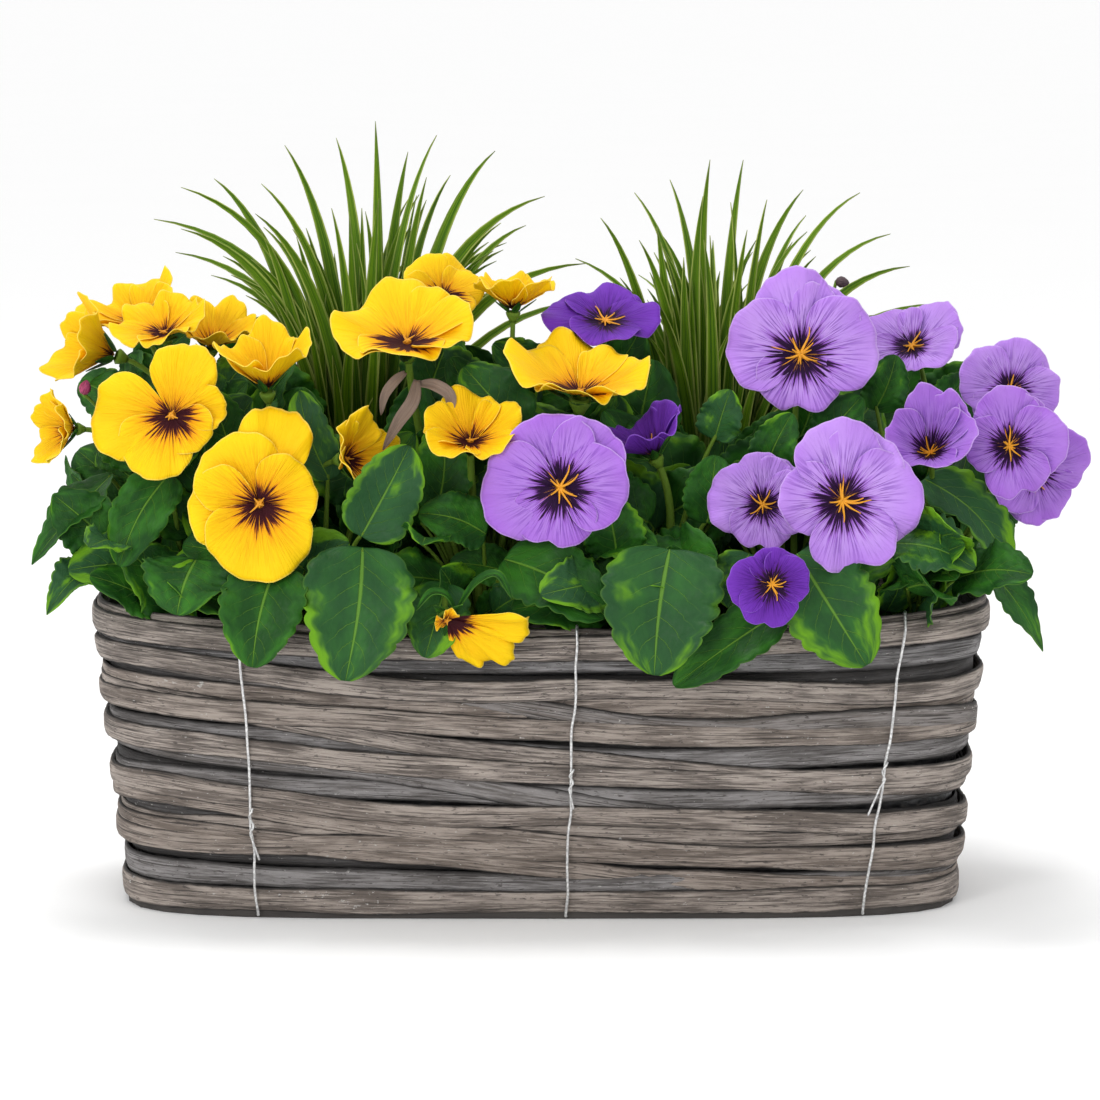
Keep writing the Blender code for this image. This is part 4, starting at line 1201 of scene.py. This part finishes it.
def clear_of_grass(base, tip):
    """Whether a leaf leaves the middles of the tufts in view from the front."""
    for (x, y), _ in GRASS.values():
        for point in (base, tip):
            if abs(point[0] - x * MM) < GRASS_SPREAD and point[1] < y * MM and point[2] > GRASS_SHOWS:
                return False
    return True


def drawn_leaf(zone, draw):
    """One leaf of a zone of FILLERS: its base, its tip, its length and the way it heads sideways."""
    _, xs, ys, zs, lengths, azimuth, steep = zone
    base = mm((draw.uniform(*xs), draw.uniform(*ys), draw.uniform(*zs)))
    length = draw.uniform(*lengths) * MM
    turn = azimuth + draw.uniform(-38, 38) + 24 * base[0] / TOP_HALF[0] * (azimuth == 0)
    rise = math.radians(90 * steep + draw.uniform(-30, 25))
    swing = math.radians(draw.uniform(-60, 60))
    away = facing(turn, 0)
    beside = np.array((-away[1], away[0], 0))
    heading = away * math.cos(rise) + np.array((0, 0, math.sin(rise)))
    heading = unit(heading * math.cos(swing) + beside * math.sin(swing))
    return base, base + heading * length, length, facing(turn, 40 - 20 * steep)


def filling_leaves():
    """The leaves between the placed ones, drawn zone by zone: (crown, base, tip, width, out)."""
    draw = random.Random(77)
    crowns = [crown_place(*crown) for crown, _ in PLANTS.values()]
    made = []
    for zone in FILLERS:
        kept = 0
        for _ in range(zone[0] * FILLER_TRIES):
            if kept == zone[0]:
                break
            base, tip, length, out = drawn_leaf(zone, draw)
            if clear_of_blooms(base, tip) and clear_of_rim(base, tip) and clear_of_grass(base, tip):
                crown = min(crowns, key=lambda place: np.linalg.norm((place - base)[:2]))
                made.append((crown, base, tip, length * draw.uniform(0.62, 0.86), out))
                kept += 1
    return made


def build_plants(leaf):
    """Each plant's leaves as one piece, and its crown, leaf stalks and flower stalks as another."""
    fillers = filling_leaves()
    for plant, (place, leaves) in PLANTS.items():
        crown = crown_place(*place)
        blades, stalks = Grids(), Grids()
        draw = random.Random(plant)
        crown_stub(stalks, crown, 6 * MM)
        for base, tip, width, azimuth, elevation in leaves:
            base, tip = mm(base), mm(tip)
            beyond = abs(base[0]) > SERRATED_BEYOND
            leaf_blade(blades, base, tip, width * MM, facing(azimuth, elevation), draw, beyond)
            petiole(stalks, crown, base, unit(tip - base), 1.25 * MM)
        for owner, base, tip, width, out in fillers:
            if np.allclose(owner, crown):
                leaf_blade(blades, base, tip, width, out, draw, rows=FILLER_ROWS, columns=FILLER_COLUMNS)
                petiole(stalks, crown, base, unit(tip - base), 1.0 * MM)
        for name, owner, centre, diameter, azimuth, elevation, *_ in BLOOMS:
            if owner == plant:
                thick = THICK_STALK if name in THICK_STALKS else STALK
                flower_stalk(stalks, crown, mm(centre), diameter * MM / 2, facing(azimuth, elevation), thick)
        foliage = blades.build(f"leaves_{plant}", [leaf], LEAF_THICKNESS)
        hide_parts(f"pansy_plant_{plant}")
        stalks.build(f"stalks_{plant}", [leaf])


def bloom_axes(azimuth, elevation, roll):
    """A bloom's axes as rows: across it, towards its upper petals and out of its face."""
    out = facing(azimuth, elevation)
    across = np.array((math.cos(math.radians(azimuth)), math.sin(math.radians(azimuth)), 0))
    upper = np.cross(out, across)
    roll = math.radians(roll)
    turned = across * math.cos(roll) - upper * math.sin(roll)
    return np.array((turned, np.cross(out, turned), out))


def bowl(cup, reach):
    """How far forward of the throat a bloom's surface is at a distance from its axis, in bloom radii. Deep
    cups are nearly cones."""
    return cup * reach ** (1.5 - 0.45 * min(1.0, cup))


def waves(place, phase, *parts):
    """A sum of sine waves along place, each a height, a beat and how many times it takes the phase."""
    return sum(height * np.sin(beat * place + times * phase) for height, beat, times in parts)


def petal(radius, cup, turn, length, half_angle, layer, kind, number, draw):
    """A fan-shaped petal with a ruffled edge, in the bloom's own axes."""
    centre_line = math.radians(turn + draw.uniform(-5, 5))
    half_angle = math.radians(half_angle + draw.uniform(-3, 4))
    length = length * draw.uniform(0.95, 1.05)
    swing = signed_power(np.linspace(-1, 1, PETAL_COLUMNS)[None, :] * 0.992, 0.9)
    share = np.linspace(0.02, 1, PETAL_ROWS)[:, None]
    phase, lean = draw.uniform(0, math.tau), draw.uniform(-0.05, 0.05)
    outline = length * np.cos(swing * math.pi / 2) ** 0.27
    outline = outline * (1 + waves(swing, phase, (0.020, 6, 1), (0.011, 17, 2), (0.007, 29, -1)))
    outline = outline * (1 - NOTCH_DEPTH * (kind == NOTCHED) * np.exp(-((swing / NOTCH_WIDTH) ** 2)))
    reach = outline * share
    angle = centre_line + swing * half_angle
    crease = waves(swing, phase, (0.026, 8, 1), (0.011, 21, -2)) * reach * share
    ruffle = waves(swing, phase, (0.050, 5.2, 1), (0.024, 13, -1)) * share**3
    ruffle = ruffle * (1 + 1.1 * min(1.0, cup / 0.4))
    lift = bowl(cup, reach) + layer * (0.014 + 0.034 * reach) + (lean + 0.05) * reach * share
    height = lift + crease + ruffle - 0.085 * reach**2 * share**4 + 0.05 * np.abs(swing) * reach
    sideways, upwards = reach * np.sin(angle), reach * np.cos(angle)
    grid = np.stack(np.broadcast_arrays(sideways, upwards, height), axis=2) * radius
    return grid, spread(angle + PATTERN_STRIDE * number, reach), spread(share, np.full_like(swing, kind))


def sepal(radius, cup, turn):
    """One of the five pointed leaflets that hold the petals from behind."""
    rows, columns = 9, 5
    s = np.linspace(0, 1, rows)[:, None]
    u = np.linspace(-1, 1, columns)[None, :]
    reach = 0.13 + 0.40 * s
    half = 0.085 * np.sin(math.pi * np.clip(s, 0, 0.985) ** 0.6) ** 0.9 + 0.01
    height = bowl(cup, reach) - 0.10 - 0.04 * (1 - s) + 0.25 * half * np.abs(u)
    sideways = reach * math.sin(turn) + u * half * math.cos(turn)
    upwards = reach * math.cos(turn) - u * half * math.sin(turn)
    grid = np.stack(np.broadcast_arrays(sideways, upwards, height), axis=2) * radius
    return grid, spread(u, s), all_over((0.6, 0.0), rows, columns)


def filament(radius, cup, turn, length):
    """The path of a thin bright thread that lies on the petals and points away from the throat."""
    reach = np.linspace(0.02, length, 8)
    height = bowl(cup, reach) + 0.06 + 0.05 * reach
    side = 0.22 * np.sin(7 * reach + turn) * reach
    across = reach * math.sin(turn) + side * math.cos(turn)
    upward = reach * math.cos(turn) - side * math.sin(turn)
    return np.stack([across, upward, height], axis=1) * radius


def turned_sheet(radius, profile, sides=12):
    """A sheet turned round the bloom's axis, through (distance, height) points in bloom radii."""
    turns = np.linspace(0, math.tau, sides, endpoint=False)
    rings = [np.stack([r * np.sin(turns), r * np.cos(turns), np.full(sides, z)], axis=1) for r, z in profile]
    pattern, finish = even_maps(len(profile), sides + 1, (1.0, 1.0), (0.2, 1.0))
    return np.array(rings) * radius, pattern, finish


def build_bloom(number, row, petal_look, green, throat):
    """A bloom: five petals, the throat, the calyx and its sepals."""
    name, _, centre, diameter, azimuth, elevation, cup, roll, form = row
    colour = name.split("_")[0]
    radius = diameter * MM / 2
    draw = random.Random(name)
    axes = bloom_axes(azimuth, elevation, roll)
    grids = Grids()

    def place(sheet, slot, ring=False):
        grid, pattern, finish = sheet
        grids.add(grid @ axes + mm(centre), pattern, finish, slot, ring)

    for petal_number, shape in enumerate(FORMS[form]):
        place(petal(radius, cup, *shape, 5 * number + petal_number, draw), 0)
    for fifth in range(5):
        place(sepal(radius, cup, math.tau * (fifth + 0.5) / 5), 1)
    place(turned_sheet(radius, CALYX), 1, ring=True)
    place(turned_sheet(radius, KNOB), 2, ring=True)
    arms, longest = FILAMENTS[colour]
    for arm in range(arms):
        turn = math.tau * (arm + draw.uniform(-0.6, 0.6)) / arms
        length = longest * (0.28 + 0.72 * draw.random() ** 2.2)
        thread = filament(radius, cup, turn, length) @ axes + mm(centre)
        tube(grids, thread, radius * np.linspace(*FILAMENT_RADII, len(thread)), slot=2, sides=6)
    bloom = grids.build(name, [petal_look, green, throat], PETAL_THICKNESS)
    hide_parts(f"bloom_{name}")


def strap(grids, path, side, ahead, half, rise, chance):
    """A long narrow leaf along a path, with half widths along it and a rise across it as shares of those."""
    u = np.linspace(-1, 1, len(rise))
    s = np.linspace(0, 1, len(path))
    half = half[:, None, None]
    keel = np.cross(side, ahead)
    grid = path[:, None, :] + u[None, :, None] * half * side[:, None, :]
    grid = grid + rise[None, :, None] * half * keel[:, None, :]
    grids.add(grid, spread(u[None, :], s[:, None]), all_over((chance, 0.0), len(path), len(rise)))


def grass_blade(grids, crown, tip, width, draw):
    """A keeled blade that climbs over its crown, bows a little and arches out to its tip."""
    outward = (tip - crown) * np.array((1, 1, 0))
    start = crown + unit(outward) * draw.uniform(3, 10) * MM + np.array((0, 0, 2 * MM))
    climb = (tip - start)[2]
    droop = min(1.0, np.linalg.norm(outward) / climb / 0.6)
    bow = np.array((draw.uniform(-15, 15) * MM, 0, climb * (0.70 + 0.28 * droop)))
    path = bezier(start, start + outward * draw.uniform(0.0, 0.14) + bow, tip, BLADE_ROWS)
    ahead = unit(np.gradient(path, axis=0))
    s = np.linspace(0, 1, BLADE_ROWS)
    turns = draw.uniform(-50, 50) + draw.uniform(-35, 35) * s
    side = unit(np.cross(ahead, np.array([facing(turn, 15) for turn in turns])))
    half = 0.5 * width * (1 - s**2.4) * (0.72 + 0.7 * s * (1 - s)) + 0.08 * MM
    keel = BLADE_KEEL * np.abs(np.linspace(-1, 1, BLADE_COLUMNS))
    strap(grids, path, side, ahead, half, keel, draw.random())


def build_grass():
    """Each tuft: the leading blades of the table, and shorter ones among them."""
    material = grass_material()
    soil = SOIL_TOP / MM
    for tuft, (place, tips) in GRASS.items():
        draw = random.Random(f"grass {tuft}")
        crown = crown_place(*place)
        grids = Grids()
        for tip in tips:
            grass_blade(grids, crown, mm(tip), BLADE_WIDTH * draw.uniform(0.9, 1.1), draw)
        for _ in range(BLADES_PER_TUFT - len(tips)):
            near = np.array(draw.choice(tips), float)
            near[:2] = np.array(place) + (near[:2] - np.array(place)) * draw.uniform(0.45, 1.0)
            near[:2] += draw.uniform(-12, 12), draw.uniform(-20, 20)
            near[2] = soil + (near[2] - soil) * draw.uniform(0.62, 0.96)
            grass_blade(grids, crown, mm(near), BLADE_WIDTH * draw.uniform(0.8, 1.05), draw)
        made = grids.build(f"grass_{tuft}", [material], BLADE_THICKNESS)
        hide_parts(f"grass_tuft_{tuft}")


def ribbon(grids, points, width, out, draw):
    """A narrow pointed leaf or bract along a curve through the points, with its face towards out."""
    path = smooth_path(mm(points), 6)
    ahead = unit(np.gradient(path, axis=0))
    side = unit(np.cross(ahead, out))
    s = np.linspace(0, 1, len(path))
    half = 0.5 * width * MM * np.sin(math.pi * (0.10 + 0.895 * s)) ** 0.7
    cup = RIBBON_CUP * np.linspace(-1, 1, RIBBON_COLUMNS) ** 2
    strap(grids, path, side, ahead, half, cup, draw.random())


def bud(grids, place, radius, towards):
    """A closed bud: a pointed body."""
    upper = square_to(np.array((0.0, 0.0, 1.0)), towards)
    axes = np.array((upper, np.cross(towards, upper), towards))
    grid, pattern, finish = turned_sheet(radius * MM, BUD)
    grids.add(grid @ axes + mm(place), pattern, finish, ring=True)


def build_extras(leaf):
    """Small things among the flowers: a bud, a seed head, withered bracts and curled young leaves."""
    withered = streaked_material("withered_bract", *WITHERED)
    looks = {"leaf": leaf, "withered": withered}
    draw = random.Random(3)
    for name, points, width, out, look in EXTRA_RIBBONS:
        grids = Grids()
        ribbon(grids, points, width, np.array(out, float), draw)
        grids.build(name, [looks[look]], LEAF_THICKNESS)
    for name, place, radius, towards, root, colour in EXTRA_BUDS:
        grids = Grids()
        bud(grids, place, radius, unit(np.array(towards, float)))
        middle = (mm(place) + mm(root)) / 2 + np.array((0, 0, 12 * MM))
        tube(grids, bezier(mm(root), middle, mm(place), 14), 0.9 * MM, slot=1, sides=7, finish=(0.4, 1.0))
        grids.build(name, [bud_material(f"{name}_skin", colour), leaf])


# ---- the studio ----


def build_floor():
    steps = np.linspace(-FLOOR_HALF, FLOOR_HALF, 9)
    x, y = np.meshgrid(steps, steps)
    pattern, finish = even_maps(9, 9)
    grids = Grids()
    grids.add(np.stack([x, y, np.full_like(x, -FLOOR_DROP)], axis=2), pattern, finish)
    floor = grids.build("floor", [floor_material()])


def add_light(name, place, size, power):
    light = bpy.data.lights.new(name, "AREA")
    light.shape = "DISK"
    light.size = size
    light.energy = power
    lamp = bpy.data.objects.new(name, light)
    lamp.location = place
    lamp.rotation_euler = (LIGHT_TARGET - Vector(place)).to_track_quat("-Z", "Y").to_euler()
    bpy.context.scene.collection.objects.link(lamp)


def build_studio():
    """White surroundings, a soft key light in front on the left, a light from above and the camera."""
    scene = bpy.context.scene
    scene.view_settings.view_transform = "Standard"
    world = bpy.data.worlds.new("studio")
    world.use_nodes = True
    world.node_tree.nodes["Background"].inputs[0].default_value = (1.0, 1.0, 1.0, 1.0)
    world.node_tree.nodes["Background"].inputs[1].default_value = 1.0
    scene.world = world
    add_light("key", (-1.3, -2.1, 1.0), 0.8, 15)
    add_light("top", (-0.3, 0.25, 2.2), 0.6, 13)
    camera = bpy.data.cameras.new("camera")
    camera.lens = CAMERA_LENS
    camera.sensor_width = CAMERA_SENSOR
    holder = bpy.data.objects.new("camera", camera)
    towards = Vector(facing(0, CAMERA_ELEVATION))
    holder.location = Vector(CAMERA_TARGET) + towards * CAMERA_DISTANCE
    holder.rotation_euler = towards.to_track_quat("Z", "Y").to_euler()
    scene.collection.objects.link(holder)
    scene.camera = holder


def main():
    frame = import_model()
    board = frame["nodes"]["base_panel"]
    board.data.materials.clear()
    board.data.materials.append(board_material())
    build_strips()
    build_liner()
    build_soil()
    wire = wire_material()
    for tie in WIRES:
        wire_tie(*tie, wire)
    leaf = leaf_material("pansy_leaf")
    build_plants(leaf)
    looks = {tint: petal_material(f"petal_{tint}_face", look) for tint, look in PETAL_LOOKS.items()}
    throat = streaked_material("bloom_throat", *THROAT)
    for number, row in enumerate(BLOOMS):
        tint = TINTS.get(row[0], row[0].split("_")[0])
        build_bloom(number, row, looks[tint], leaf, throat)
    build_grass()
    build_extras(leaf)
    build_floor()
    build_studio()


main()
